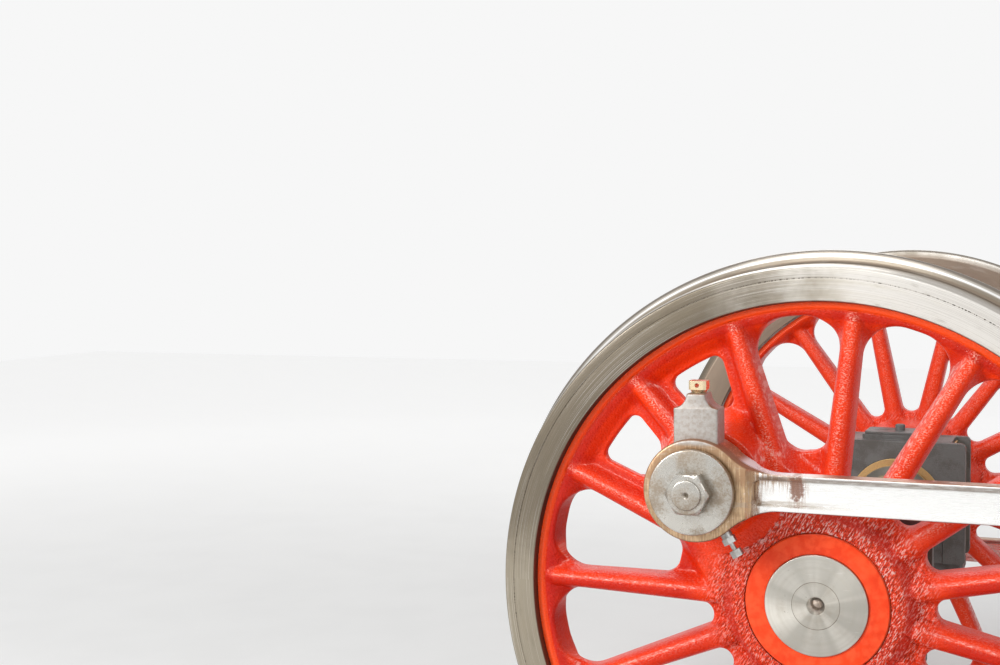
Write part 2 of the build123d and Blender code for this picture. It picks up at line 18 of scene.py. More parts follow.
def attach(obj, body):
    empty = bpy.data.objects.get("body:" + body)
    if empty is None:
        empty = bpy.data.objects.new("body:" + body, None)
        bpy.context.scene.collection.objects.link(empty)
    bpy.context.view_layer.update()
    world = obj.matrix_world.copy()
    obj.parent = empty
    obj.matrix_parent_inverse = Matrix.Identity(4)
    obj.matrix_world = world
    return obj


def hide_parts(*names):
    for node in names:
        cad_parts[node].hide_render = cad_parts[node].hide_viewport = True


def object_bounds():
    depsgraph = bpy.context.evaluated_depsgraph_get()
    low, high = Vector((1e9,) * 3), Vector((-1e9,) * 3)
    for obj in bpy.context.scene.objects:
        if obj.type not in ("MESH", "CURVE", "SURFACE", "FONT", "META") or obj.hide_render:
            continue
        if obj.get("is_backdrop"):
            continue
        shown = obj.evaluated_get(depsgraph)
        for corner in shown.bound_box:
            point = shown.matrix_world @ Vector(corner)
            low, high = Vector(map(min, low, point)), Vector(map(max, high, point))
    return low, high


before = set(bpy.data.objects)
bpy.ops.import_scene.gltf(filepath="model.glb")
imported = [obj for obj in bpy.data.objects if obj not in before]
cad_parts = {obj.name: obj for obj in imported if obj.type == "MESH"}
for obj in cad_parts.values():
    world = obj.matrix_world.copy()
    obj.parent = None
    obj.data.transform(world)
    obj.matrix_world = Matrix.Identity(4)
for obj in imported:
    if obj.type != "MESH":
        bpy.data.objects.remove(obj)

log = logging.getLogger("wheelset")

MM = 0.001
FACE = 820.0
THROW = 330.0
SPOKES = 15
SPOKE_STEP = 2 * math.pi / SPOKES
WEIGHT_WINDOWS = 3

Colour = tuple[float, float, float]
Pair = tuple[float, float]
Spot = tuple[float, float, float]


# Surfaces


class Wrap(Enum):
    """Which ways of a grid of points close on themselves, as (rows, columns)."""

    NONE = (False, False)
    COLUMNS = (False, True)
    BOTH = (True, True)


Grid = tuple[np.ndarray, Wrap]


class Surface:
    """Closed shells of one piece, gathered as arrays of points and faces."""

    def __init__(self) -> None:
        """Starts with no shell."""
        self.points: list[np.ndarray] = []
        self.quads: list[np.ndarray] = []
        self.count = 0

    def shell(self, *grids: Grid) -> "Surface":
        """Adds one closed shell made of grids that share their edges.

        Formula: the shell's volume is the sum over its triangles of
        p0 . (p1 x p2) / 6. Where it is negative, every face is turned round.

        Args:
            grids: Arrays (rows, columns, 3) of row places in metres, each with its wrap.

        Returns:
            The surface itself.
        """
        points, quads, start = [], [], 0
        for grid, wrap in grids:
            rows, columns = grid.shape[:2]
            index = np.arange(rows * columns).reshape(rows, columns) + start
            close_rows, close_columns = wrap.value
            if close_rows:
                index = np.vstack([index, index[:1]])
            if close_columns:
                index = np.hstack([index, index[:, :1]])
            faces = np.stack([index[:-1, :-1], index[:-1, 1:], index[1:, 1:], index[1:, :-1]], -1)
            points.append(grid.reshape(-1, 3))
            quads.append(faces.reshape(-1, 4))
            start += rows * columns
        cloud, faces = np.vstack(points), np.vstack(quads)
        p0, p1, p2, p3 = (cloud[faces[:, i]] for i in range(4))
        volume = (p0 * np.cross(p1, p2)).sum() + (p0 * np.cross(p2, p3)).sum()
        if volume < 0:
            faces = faces[:, ::-1]
        self.points.append(cloud)
        self.quads.append(faces + self.count)
        self.count += len(cloud)
        return self

    def build(self, name: str, crease: float = 38.0) -> bpy.types.Object:
        """Welds the shells' equal points and makes a mesh object of them.

        Args:
            name: Name of the piece.
            crease: Angle in degrees above which an edge is sharp.

        Returns:
            The object, at the origin.
        """
        cloud = np.vstack(self.points)
        places = np.round(cloud, 6)
        _, first, index = np.unique(places, axis=0, return_index=True, return_inverse=True)
        cloud = cloud[first]
        quads = index.reshape(-1)[np.vstack(self.quads)]
        same = quads == np.roll(quads, -1, axis=1)
        fold = same.sum(1)
        whole = quads[(fold == 0) & (quads[:, 0] != quads[:, 2]) & (quads[:, 1] != quads[:, 3])]
        pinched = quads[fold == 1]
        turn = same[fold == 1].argmax(1)
        order = (turn[:, None] + np.array([1, 2, 3])) % 4
        triangles = np.take_along_axis(pinched, order, 1)
        loops = np.concatenate([whole.ravel(), triangles.ravel()])
        starts = np.concatenate([
            np.arange(len(whole)) * 4,
            len(whole) * 4 + np.arange(len(triangles)) * 3,
        ])
        mesh = bpy.data.meshes.new(name)
        mesh.vertices.add(len(cloud))
        mesh.vertices.foreach_set("co", cloud.ravel().astype(np.float32))
        mesh.loops.add(len(loops))
        mesh.loops.foreach_set("vertex_index", loops.astype(np.int32))
        mesh.polygons.add(len(starts))
        mesh.polygons.foreach_set("loop_start", starts.astype(np.int32))
        mesh.update(calc_edges=True)
        mesh.validate()
        mesh.shade_smooth()
        mesh.set_sharp_from_angle(angle=math.radians(crease))
        return placed(name, mesh)


def placed(name: str, data: bpy.types.ID) -> bpy.types.Object:
    """Puts an object at the origin of the scene.

    Args:
        name: Its name.
        data: The mesh, camera or lamp that it shows.

    Returns:
        The object.
    """
    piece = bpy.data.objects.new(name, data)
    bpy.context.scene.collection.objects.link(piece)
    return piece


def eased(corners: list[tuple[float, float, float]], steps: int = 4) -> np.ndarray:
    """Closed outline whose corners are replaced by arcs.

    Formula: with unit directions e and f from a corner to its neighbours and
    2h the angle between them, the arc's centre lies r / sin h along e + f, and
    its points are that centre plus r times the turn from one tangent point's
    direction to the other's.

    Args:
        corners: Corners as (first, second, radius).
        steps: Number of spans of each arc.

    Returns:
        Array (corners * (steps + 1), 2).
    """
    table = np.array(corners, float)
    place, radius = table[:, :2], np.maximum(table[:, 2], 1e-4)
    to_last = np.roll(place, 1, axis=0) - place
    to_next = np.roll(place, -1, axis=0) - place
    reach = np.minimum(np.linalg.norm(to_last, axis=1), np.linalg.norm(to_next, axis=1))
    e = to_last / np.linalg.norm(to_last, axis=1)[:, None]
    f = to_next / np.linalg.norm(to_next, axis=1)[:, None]
    half = np.arccos(np.clip((e * f).sum(1), -0.99999, 0.99999)) / 2
    radius = np.minimum(radius, 0.48 * reach * np.tan(half))
    middle = (e + f) / np.linalg.norm(e + f, axis=1)[:, None]
    centre = place + middle * (radius / np.sin(half))[:, None]
    tangent = (radius / np.tan(half))[:, None]
    start = (place + e * tangent - centre) / radius[:, None]
    stop = (place + f * tangent - centre) / radius[:, None]
    sweep = (math.pi - 2 * half)[:, None, None]
    t = np.linspace(0, 1, steps + 1)[None, :, None]
    turn = (np.sin((1 - t) * sweep) * start[:, None] + np.sin(t * sweep) * stop[:, None]) / np.sin(sweep)
    return (centre[:, None] + radius[:, None, None] * turn).reshape(-1, 2)


def soft_min(a: np.ndarray, b: np.ndarray, blend: float) -> np.ndarray:
    """Lower of two fields, less blend / 4 * max(0, 1 - |a - b| / blend)^2 where they meet."""
    near = np.maximum(1 - np.abs(a - b) / blend, 0)
    return np.minimum(a, b) - near * near * blend / 4


def soft_max(a: np.ndarray, b: np.ndarray, blend: float) -> np.ndarray:
    """Higher of two fields, rounded where they meet."""
    return -soft_min(-a, -b, blend)


def rise(value: np.ndarray, low: float, high: float) -> np.ndarray:
    """Smooth step from 0 at low to 1 at high: t * t * (3 - 2 t)."""
    t = np.clip((value - low) / (high - low), 0, 1)
    return t * t * (3 - 2 * t)


def rolled(distance: np.ndarray, radius: float) -> np.ndarray:
    """Drop of an edge rolled over by a radius, at a distance outside it: r - sqrt(r * r - d * d)."""
    share = np.clip((distance + radius) / radius, 0, 1)
    return radius * (1 - np.sqrt(np.clip(1 - share * share, 0, 1)))


@dataclass(frozen=True)
class Side:
    """One side of the locomotive: its sign along Y and its crank's angle in degrees."""

    name: str
    sign: int
    crank: float

    @property
    def turn(self) -> float:
        """Angle of the crank as seen in this wheel's plane, in radians."""
        return math.radians(self.crank if self.sign < 0 else 180.0 - self.crank)

    @property
    def pin(self) -> Pair:
        """Place of the crank pin in this wheel's plane, in millimetres."""
        return THROW * math.cos(self.turn), THROW * math.sin(self.turn)

    @property
    def row_pin(self) -> Pair:
        """Row X and Z of the crank pin, in metres."""
        return -self.sign * self.pin[0] * MM, self.pin[1] * MM

    def place(self, across: np.ndarray, up: np.ndarray, depth: np.ndarray) -> np.ndarray:
        """Row places of points of the wheel plane.

        Formula: X = -sign * across, Y = sign * (face - depth), Z = up, in metres.

        Args:
            across: Distances to the right, seen from outside.
            up: Heights above the axle.
            depth: Depths below the tyre's outer face.

        Returns:
            Array (..., 3).
        """
        across, up, depth = np.broadcast_arrays(across, up, depth)
        return np.stack([-self.sign * across, self.sign * (FACE - depth), up], -1) * MM

    def turned(self, outline: np.ndarray, at: Pair = (0.0, 0.0), segments: int = 128) -> Grid:
        """Surface of revolution about an axis across the wheel plane.

        Formula: at angle t an outline point (depth, radius) lies at the axis
        plus radius * (cos t, sin t), at its depth.

        Args:
            outline: Closed outline of (depth, radius).
            at: Place of the axis in the wheel plane.
            segments: Number of spans round the axis.

        Returns:
            The grid and its wrap, for Surface.shell.
        """
        t = np.linspace(0, 2 * math.pi, segments, endpoint=False)[None, :]
        depth, radius = outline[:, :1], outline[:, 1:]
        return self.place(at[0] + radius * np.cos(t), at[1] + radius * np.sin(t), depth), Wrap.BOTH


SIDES = (Side("right", -1, 131.5), Side("left", 1, 221.5))


# Finishes


class Value:
    """Number, vector or colour in a material's nodes. Arithmetic on it adds Math nodes."""

    def __init__(self, recipe: "Recipe", socket: bpy.types.NodeSocket) -> None:
        """Wraps a socket of the recipe's tree."""
        self.recipe = recipe
        self.socket = socket

    def __add__(self, other: "Value | float") -> "Value":
        """Sum of both."""
        return self.recipe.math("ADD", self, other)

    def __radd__(self, other: float) -> "Value":
        """Sum of both."""
        return self.recipe.math("ADD", other, self)

    def __sub__(self, other: "Value | float") -> "Value":
        """Difference from the other."""
        return self.recipe.math("SUBTRACT", self, other)

    def __rsub__(self, other: float) -> "Value":
        """Difference of the other from this."""
        return self.recipe.math("SUBTRACT", other, self)

    def __mul__(self, other: "Value | float") -> "Value":
        """Product of both."""
        return self.recipe.math("MULTIPLY", self, other)

    def __truediv__(self, other: "Value | float") -> "Value":
        """Quotient by the other."""
        return self.recipe.math("DIVIDE", self, other)

    def __abs__(self) -> "Value":
        """Value without its sign."""
        return self.recipe.math("ABSOLUTE", self)

    def step(self, low: float, high: float, bottom: float = 0.0, top: float = 1.0) -> "Value":
        """Value mapped smoothly: bottom + (top - bottom) * t * t * (3 - 2 t).

        Args:
            low: Value at which t is 0.
            high: Value at which t is 1.
            bottom: Result at low and beyond it.
            top: Result at high and beyond it.

        Returns:
            The mapped value.
        """
        inputs = {"Value": self, "From Min": low, "From Max": high, "To Min": bottom, "To Max": top}
        made = self.recipe.node("ShaderNodeMapRange", inputs, interpolation_type="SMOOTHSTEP")
        return Value(self.recipe, made.outputs[0])

    def line(self, at: float, half: float) -> "Value":
        """1 on a thin line where the value equals at, 0 beyond half either side."""
        return abs(self - at).step(half * 0.4, half, 1.0, 0.0)


class Recipe:
    """A material's node tree while its colour and relief are put together."""

    def __init__(self, name: str) -> None:
        """Starts a material with an empty tree.

        Args:
            name: Name of the material.
        """
        self.material = bpy.data.materials.new(name)
        self.material.use_nodes = True
        self.tree = self.material.node_tree
        self.tree.nodes.clear()
        place = self.node("ShaderNodeTexCoord")
        self.place = Value(self, place.outputs["Object"])
        self.x, self.y, self.z = self.parts(self.place)
        self.normal = Value(self, place.outputs["Normal"])
        self.colour: Value | None = None
        self.bent: Value | None = None

    def node(self, kind: str, inputs: dict | None = None, **settings: object) -> bpy.types.Node:
        """Adds a node and fills or links its inputs.

        Args:
            kind: Blender's name of the node type.
            inputs: Plain values or Values by input name or number.
            settings: Properties of the node.

        Returns:
            The node.
        """
        made = self.tree.nodes.new(kind)
        for key, value in settings.items():
            setattr(made, key, value)
        for key, value in (inputs or {}).items():
            if isinstance(value, Value):
                self.tree.links.new(value.socket, made.inputs[key])
            else:
                made.inputs[key].default_value = value
        return made

    def parts(self, vector: Value) -> list[Value]:
        """The X, Y and Z of a vector."""
        return [Value(self, part) for part in self.node("ShaderNodeSeparateXYZ", {0: vector}).outputs]

    def math(self, operation: str, *values: Value | float) -> Value:
        """Result of a Math node on the given values."""
        made = self.node("ShaderNodeMath", dict(enumerate(values)), operation=operation)
        return Value(self, made.outputs[0])

    def vector(self, x: Value | float, y: Value | float, z: Value | float) -> Value:
        """A vector of three values."""
        return Value(self, self.node("ShaderNodeCombineXYZ", {0: x, 1: y, 2: z}).outputs[0])

    def scaled(self, factor: Spot) -> Value:
        """Object place with each way stretched by a factor."""
        made = self.node("ShaderNodeMapping", {"Vector": self.place, "Scale": factor})
        return Value(self, made.outputs[0])

    def noise(
        self, scale: float, detail: float = 3.0, where: Value | None = None, rough: float = 0.55,
    ) -> Value:
        """Value of a noise pattern, near 0.5 on average."""
        inputs = {"Vector": where or self.place, "Scale": scale, "Detail": detail, "Roughness": rough}
        return Value(self, self.node("ShaderNodeTexNoise", inputs).outputs["Fac"])

    def drawn(self, x: Value | float, y: Value | float, z: Value | float, detail: float) -> Value:
        """Noise drawn out along the ways whose values are small."""
        return self.noise(1.0, detail, self.vector(x, y, z))

    def mix(self, share: Value, first: Value | Colour, second: Value | Colour) -> Value:
        """Colour between two others.

        Args:
            share: 0 for the first and 1 for the second.
            first: Value or plain colour.
            second: Value or plain colour.

        Returns:
            The colour.
        """
        first, second = (tint if isinstance(tint, Value) else (*tint, 1.0) for tint in (first, second))
        made = self.node("ShaderNodeMix", {0: share, 6: first, 7: second}, data_type="RGBA")
        return Value(self, made.outputs[2])

    def lay(self, tint: Value | Colour, share: Value) -> None:
        """Lays a colour over the recipe's colour, by a share."""
        self.colour = self.mix(share, self.colour, tint)

    def bend(self, height: Value, distance: float, strength: float = 1.0) -> None:
        """Bends the surface further by a height.

        Args:
            height: Value from 0 to 1.
            distance: Height of 1 in metres.
            strength: Share of the bending that shows.
        """
        inputs = {"Height": height, "Distance": distance, "Strength": strength}
        if self.bent is not None:
            inputs["Normal"] = self.bent
        self.bent = Value(self, self.node("ShaderNodeBump", inputs).outputs[0])

    def distance(self, x: Value | float, z: Value | float) -> Value:
        """Distance in metres from an axis along Y."""
        across, up = self.x - x, self.z - z
        return self.math("SQRT", across * across + up * up)

    @cached_property
    def radius(self) -> Value:
        """Distance in metres from the axle's middle line."""
        return self.distance(0.0, 0.0)

    @cached_property
    def angle(self) -> Value:
        """Angle round the axle in radians."""
        return self.math("ARCTAN2", self.z, self.x)

    @cached_property
    def depth(self) -> Value:
        """Depth in metres below the outer face of the nearer tyre."""
        return FACE * MM - abs(self.y)

    def finish(self, **inputs: Value | float | tuple) -> bpy.types.Material:
        """Ends the tree with a Principled shader of the recipe's colour and relief.

        Args:
            inputs: Further shader inputs, their names with _ for spaces.

        Returns:
            The material.
        """
        named = {key.replace("_", " "): value for key, value in inputs.items()}
        named["Base Color"] = self.colour
        if self.bent is not None:
            named["Normal"] = self.bent
        shader = self.node("ShaderNodeBsdfPrincipled", named)
        self.node("ShaderNodeOutputMaterial", {0: Value(self, shader.outputs[0])})
        return self.material


class RedCasting:
    """Gloss red paint over a rough casting, smooth on the machined hub ring."""

    FRESH: Colour = (0.88, 0.046, 0.004)
    DEEP: Colour = (0.50, 0.008, 0.003)
    # Pale pink of the painted highlight strokes on the hub's ripples.
    RIPPLE_HIGHLIGHT: Colour = (0.95, 0.60, 0.55)
    RING = 0.1465
    BOSS = 0.157
    LIP = 0.602

    def __init__(self) -> None:
        """Works out where on the casting each layer of paint lies, as shares from 0 to 1."""
        r = self.recipe = Recipe("red_casting")
        self.rough = r.radius.step(self.RING, self.RING + 0.004)
        self.hub = self.rough * r.radius.step(0.19, 0.26, 1.0, 0.0)
        self.front = r.depth.step(0.15, 0.05)
        self.left = r.y.step(-0.01, 0.01)
        (right_x, right_z), (left_x, left_z) = (side.row_pin for side in SIDES)
        pin_x, pin_z = self.left * (left_x - right_x) + right_x, self.left * (left_z - right_z) + right_z
        self.pin = r.distance(pin_x, pin_z)
        self.lump = r.noise(60.0, 2.0)
        along = r.x * 0.50 + r.z * 0.866
        across = r.z * 0.50 - r.x * 0.866
        self.ripple = r.drawn(along * 100.0, across * 340.0, r.depth * 60.0, 2.5)
        self.moat = r.radius.line(0.186, 0.014) * self.pin.step(0.20, 0.24)
        on_boss = self.pin.step(self.BOSS, self.BOSS + 0.003)
        self.rippled = self.hub * self.front * on_boss * (1.0 - self.moat * 0.65)
        self.lip = r.radius.step(self.LIP, self.LIP + 0.007)
        self.spoke = r.radius.step(0.235, 0.29) * self.front * (1.0 - self.lip)

    def build(self) -> bpy.types.Material:
        """Makes the material.

        Returns:
            Paint whose pebbles come from fine noise, and whose ripples on the
            hub and streaks on the spokes are noise drawn out one way.
        """
        r = self.recipe
        self.paint_hub()
        self.paint_spokes()
        self.paint_edges()
        quiet = r.math("MAXIMUM", self.lip * 0.7, self.spoke * 0.35)
        uneven = r.noise(230.0, 2.0, rough=0.5) * 1.7 + self.lump
        r.bend(self.ripple * self.rippled, 0.0055)
        r.bend(self.rough * (1.0 - quiet) * uneven, 0.0026, 0.90)
        r.bend(r.noise(620.0, 2.0), 0.0002, 0.5)
        return r.finish(
            Roughness=r.noise(25.0, 3.0) * 0.16 + 0.27, Specular_IOR_Level=0.10,
            Coat_Weight=0.28, Coat_IOR=1.45, Coat_Roughness=0.12, Coat_Normal=r.bent,
        )

    def paint_hub(self) -> None:
        """Lays the plain red, its grime, painted shade in the moat round the hub, and on the hub's ripples
        painted highlight strokes, strongest towards the upper front, and painted shade in their hollows.
        """
        r = self.recipe
        cloud = r.noise(14.0, 3.0).step(0.35, 0.75)
        grime = r.noise(60.0, 5.0).step(0.56, 0.72)
        r.colour = r.mix(cloud * 0.30, self.FRESH, self.DEEP)
        r.lay((0.10, 0.05, 0.03), grime * 0.055)
        # Painted shade: darker red in the moat round the hub.
        r.lay((0.46, 0.008, 0.006), self.moat * 0.55)
        # Painted highlight: pale strokes on the ripples' ridges, strongest towards the upper front.
        forward_up = (r.x * 0.62 + r.z * 0.78) / r.radius
        lit_patches = (forward_up + (cloud - 0.5) * 0.9).step(-0.4, 0.85, 0.48, 0.92)
        r.lay(self.RIPPLE_HIGHLIGHT, self.ripple.step(0.52, 0.63) * self.rippled * lit_patches)
        # Painted shade: dark red in the ripples' hollows.
        r.lay((0.16, 0.010, 0.008), self.ripple.step(0.49, 0.38) * self.rippled * 0.62)

    def paint_spokes(self) -> None:
        """Lays painted shade on the spokes' flanks, on the undersides of the flatter spokes and in the
        groove below the rim's lip, painted light on the lip, and painted highlight specks and streaks on
        top.
        """
        r, spoke = self.recipe, self.spoke
        rising = r.parts(r.normal)[2]
        crank = self.left * (math.pi / 2) + math.radians(SIDES[0].crank)
        count = (r.angle - crank) / SPOKE_STEP
        nearest = r.math("ROUND", count)
        off = abs(count - nearest) * (r.radius * SPOKE_STEP)
        ridge = off.step(0.0135, 0.0030) * spoke
        flank = off.step(0.012, 0.022) * off.step(0.050, 0.036) * spoke
        # Painted shade: deep red on the spokes' flanks.
        r.lay(self.DEEP, flank * 0.42)
        # Painted light: brighter red on the rim's lip, set in below the tyre.
        r.lay((1.0, 0.085, 0.010), self.lip * 0.80)
        # Painted shade: deep red in the groove below the rim's lip.
        r.lay(self.DEEP, r.radius.line(0.597, 0.014) * self.front * 0.62)
        # Painted highlight: pale specks on the ridges and upward faces, most on the steeper spokes.
        steep = (abs(r.z) / r.radius).step(0.15, 0.75, 0.25, 1.0)
        wrinkle = r.noise(330.0, 2.5, r.scaled((0.75, 0.6, 1.35)), 0.5).step(0.46, 0.68)
        shine = ridge * steep * 0.68 + 0.11
        r.lay((0.98, 0.50, 0.39), wrinkle * self.rough * rising.step(-0.45, 0.30) * shine)
        # Painted highlight: pale streaks on the spokes' upward flanks.
        strand = r.drawn(r.radius * 90.0, off * 380.0, nearest, 2.5).step(0.46, 0.66, 0.12, 1.0)
        highlight_band = rising.step(0.24, 0.36) * rising.step(0.62, 0.44)
        between = r.radius.step(0.21, 0.24) * r.radius.step(0.595, 0.570) * self.front
        # Painted shade: deep red on the lower faces of the flatter spokes.
        shaded_under = (1.0 - steep) * rising.step(0.32, 0.08) * spoke
        r.lay(self.DEEP, shaded_under * 0.95)
        r.lay((0.98, 0.62, 0.56), highlight_band * strand * between * 0.60)

    def paint_edges(self) -> None:
        """Lays the paler hub ring, a painted highlight along the crank boss's edge and the dark seam of
        the ring.
        """
        r = self.recipe
        ring = (1.0 - self.rough) * self.front * self.lump.step(0.30, 0.70, 0.15, 0.85)
        r.lay((1.0, 0.110, 0.030), ring * 0.85)
        # Painted highlight: a pale broken line along the crank boss's edge.
        boss_glint = self.pin.line(self.BOSS + 0.004, 0.007) * self.lump.step(0.50, 0.62) * self.hub
        r.lay((0.92, 0.62, 0.58), boss_glint * 0.65)
        r.lay((0.12, 0.02, 0.015), r.radius.line(self.RING + 0.0003, 0.0012) * 0.12)


@dataclass(frozen=True)
class TyreSteel:
    """Turned tyre: dull striped face, bright rolled tread and flange, rust in the root."""

    face: Colour = (0.72, 0.69, 0.645)
    stain: Colour = (0.50, 0.46, 0.39)
    olive: Colour = (0.250, 0.210, 0.145)
    bright: Colour = (0.50, 0.465, 0.42)
    groove: float = 0.6719
    hollow: float = 0.7085
    flank: float = 0.7162
    tip: float = 0.7195
    lip: float = 0.6275

    def build(self) -> bpy.types.Material:
        """Makes the material.

        Returns:
            Steel with rings from noise along the radius, a dashed dark line at
            the wear mark and a brown line in the flange's root.
        """
        r = Recipe("tyre_steel")
        rings = r.drawn(r.radius * 900.0, r.angle * 1.5, 0.0, 4.0)
        coarse = r.drawn(r.radius * 150.0, r.angle, 3.0, 3.0)
        cloud = r.noise(7.0, 4.0)
        share = (cloud * 0.6 + coarse * 0.4).step(0.42, 0.66)
        # Darker olive towards the rear and a little up, and dark brown further towards the upper rear.
        lean = (r.x * -0.94 + r.z * 0.34) / r.radius + (cloud - 0.5) * 0.8
        high = (r.z - r.x) * 0.71 / r.radius + (cloud - 0.5) * 0.35
        olive_patch = lean.step(0.16, 0.66)
        r.colour = r.mix(share * 0.75, self.face, self.stain)
        r.lay(self.olive, olive_patch * 0.88)
        r.lay((0.100, 0.080, 0.057), high.step(0.66, 0.93) * 0.78)
        smear = r.drawn(r.radius * 60.0, r.angle * 9.0, 7.0, 4.0)
        r.lay((0.20, 0.17, 0.12), smear.step(0.58, 0.72) * 0.35)
        r.lay((0.26, 0.23, 0.19), rings.step(0.48, 0.66) * 0.38)
        r.lay((0.88, 0.86, 0.83), rings.step(0.44, 0.30) * 0.35)
        worn = self.rolled_bright(r, coarse, smear)
        self.wear_mark(r, olive_patch)
        seam = r.radius.step(self.lip, self.lip - 0.005) * r.depth.step(0.05, 0.03)
        r.lay((0.07, 0.05, 0.04), seam * 0.85)
        r.lay((0.22, 0.17, 0.13), r.depth.step(0.132, 0.139) * 0.75)
        r.bend(rings, 0.00035, 0.6)
        r.bend(coarse, 0.0005, 0.4)
        return r.finish(Metallic=0.92, Roughness=worn * -0.10 + (share * 0.16 + 0.38))

    def rolled_bright(self, r: Recipe, coarse: Value, smear: Value) -> Value:
        """Lays the tread and flange, bright where rails roll them and brown in the root, with painted
        shade on the flange's tip and a painted highlight line along its flank.

        Args:
            r: The recipe.
            coarse: Noise in rings round the axle.
            smear: Noise in short arcs round the axle.

        Returns:
            Share of tread and flange.
        """
        tread = r.depth.step(0.0015, 0.006)
        worn = tread * r.radius.step(0.66, 0.68) * r.depth.step(0.118, 0.132, 1.0, 0.0)
        r.lay(r.mix(coarse * 0.6, self.bright, (0.40, 0.36, 0.31)), worn)
        # Painted shade: darker brown-grey on the flange's tip.
        r.lay((0.17, 0.145, 0.12), r.radius.step(self.tip, self.tip + 0.004) * tread * 0.85)
        r.lay((0.22, 0.18, 0.13), r.radius.line(self.hollow, 0.0060) * worn * 0.80)
        # Painted highlight: a pale line along the flange's rounded flank.
        r.lay((0.93, 0.92, 0.905), r.radius.line(self.flank, 0.0028) * worn * 0.85)
        root = r.depth.step(0.070, 0.088) * r.radius.step(self.hollow + 0.001, self.hollow - 0.005) * tread
        r.lay((0.26, 0.195, 0.14), root * smear.step(0.30, 0.5, 0.35, 0.85))
        return worn

    def wear_mark(self, r: Recipe, olive_patch: Value) -> None:
        """Lays the dirt in the wear mark, a dark line broken into dashes.

        Args:
            r: The recipe.
            olive_patch: Share of the darker olive patch towards the rear.
        """
        dash = r.radius.line(self.groove, 0.0015) * r.depth.step(0.003, 0.001)
        broken = r.drawn(r.angle * 105.0, 1.0, 1.0, 2.0).step(0.50, 0.54)
        faint = r.drawn(r.angle * 5.0, 2.0, 4.0, 2.0).step(0.38, 0.60)
        r.lay((0.07, 0.055, 0.04), dash * broken * (faint + 0.15) * (1.0 - olive_patch * 0.25) * 0.9)


@dataclass(frozen=True)
class TurnedSteel:
    """Turned steel of the axle, with rings on its ends."""

    bright: Colour = (0.59, 0.565, 0.51)
    dull: Colour = (0.44, 0.42, 0.375)
    oil: Colour = (0.26, 0.20, 0.13)
    end: float = 0.8262

    def build(self) -> bpy.types.Material:
        """Makes the material.

        Returns:
            Steel with turning rings on the end face, painted reflection in fans of light and dark round
            its middle, a painted reflection inside the centre hole and lengthwise oil marks.
        """
        r = Recipe("turned_steel")
        reach = abs(r.y)
        end = reach.step(self.end, self.end + 0.001)
        rings = r.drawn(r.radius * 1400.0, 0.0, 0.0, 3.0)
        wide = r.drawn(r.radius * 120.0, 5.0, 0.0, 2.0)
        along = r.drawn(r.y * 700.0, r.angle, 0.0, 3.0)
        scratch = r.noise(1.0, 2.0, r.scaled((26.0, 26.0, 420.0))).step(0.68, 0.74)
        circle = r.radius.line(0.049, 0.0007) * end
        # Painted reflection: fans of lighter and darker steel round the axis.
        fan = r.noise(1.7, 2.0, r.vector(r.x / r.radius, r.z / r.radius, 2.0), 0.5)
        r.colour = r.mix(fan.step(0.36, 0.64), self.dull, self.bright)
        r.lay((0.44, 0.41, 0.35), wide.step(0.4, 0.7) * 0.35)
        r.lay((0.20, 0.17, 0.13), r.noise(150.0, 4.0).step(0.66, 0.74) * 0.4)
        r.lay(self.oil, r.noise(16.0, 4.0).step(0.5, 0.75) * 0.30)
        r.lay((0.80, 0.79, 0.76), scratch * end * 0.22)
        r.lay((0.15, 0.12, 0.09), circle * 0.7)
        # Painted reflection: a pale lining inside the centre hole.
        inside = reach.step(self.end + 0.0003, self.end - 0.0082) * r.radius.step(0.022, 0.016)
        r.lay((0.78, 0.71, 0.66), inside * 0.7)
        r.bend(rings * end, 0.0003, 0.7)
        r.bend(circle * -1.0, 0.0005, 0.8)
        r.bend(along * (1.0 - end), 0.0002, 0.5)
        turning = r.node(
            "ShaderNodeVectorTransform", {0: r.vector(r.z * -1.0, 0.0, r.x)},
            vector_type="VECTOR", convert_from="OBJECT", convert_to="WORLD",
        )
        tangent = Value(r, turning.outputs[0])
        return r.finish(Metallic=0.95, Roughness=wide * 0.2 + 0.24, Anisotropic=0.75, Tangent=tangent)


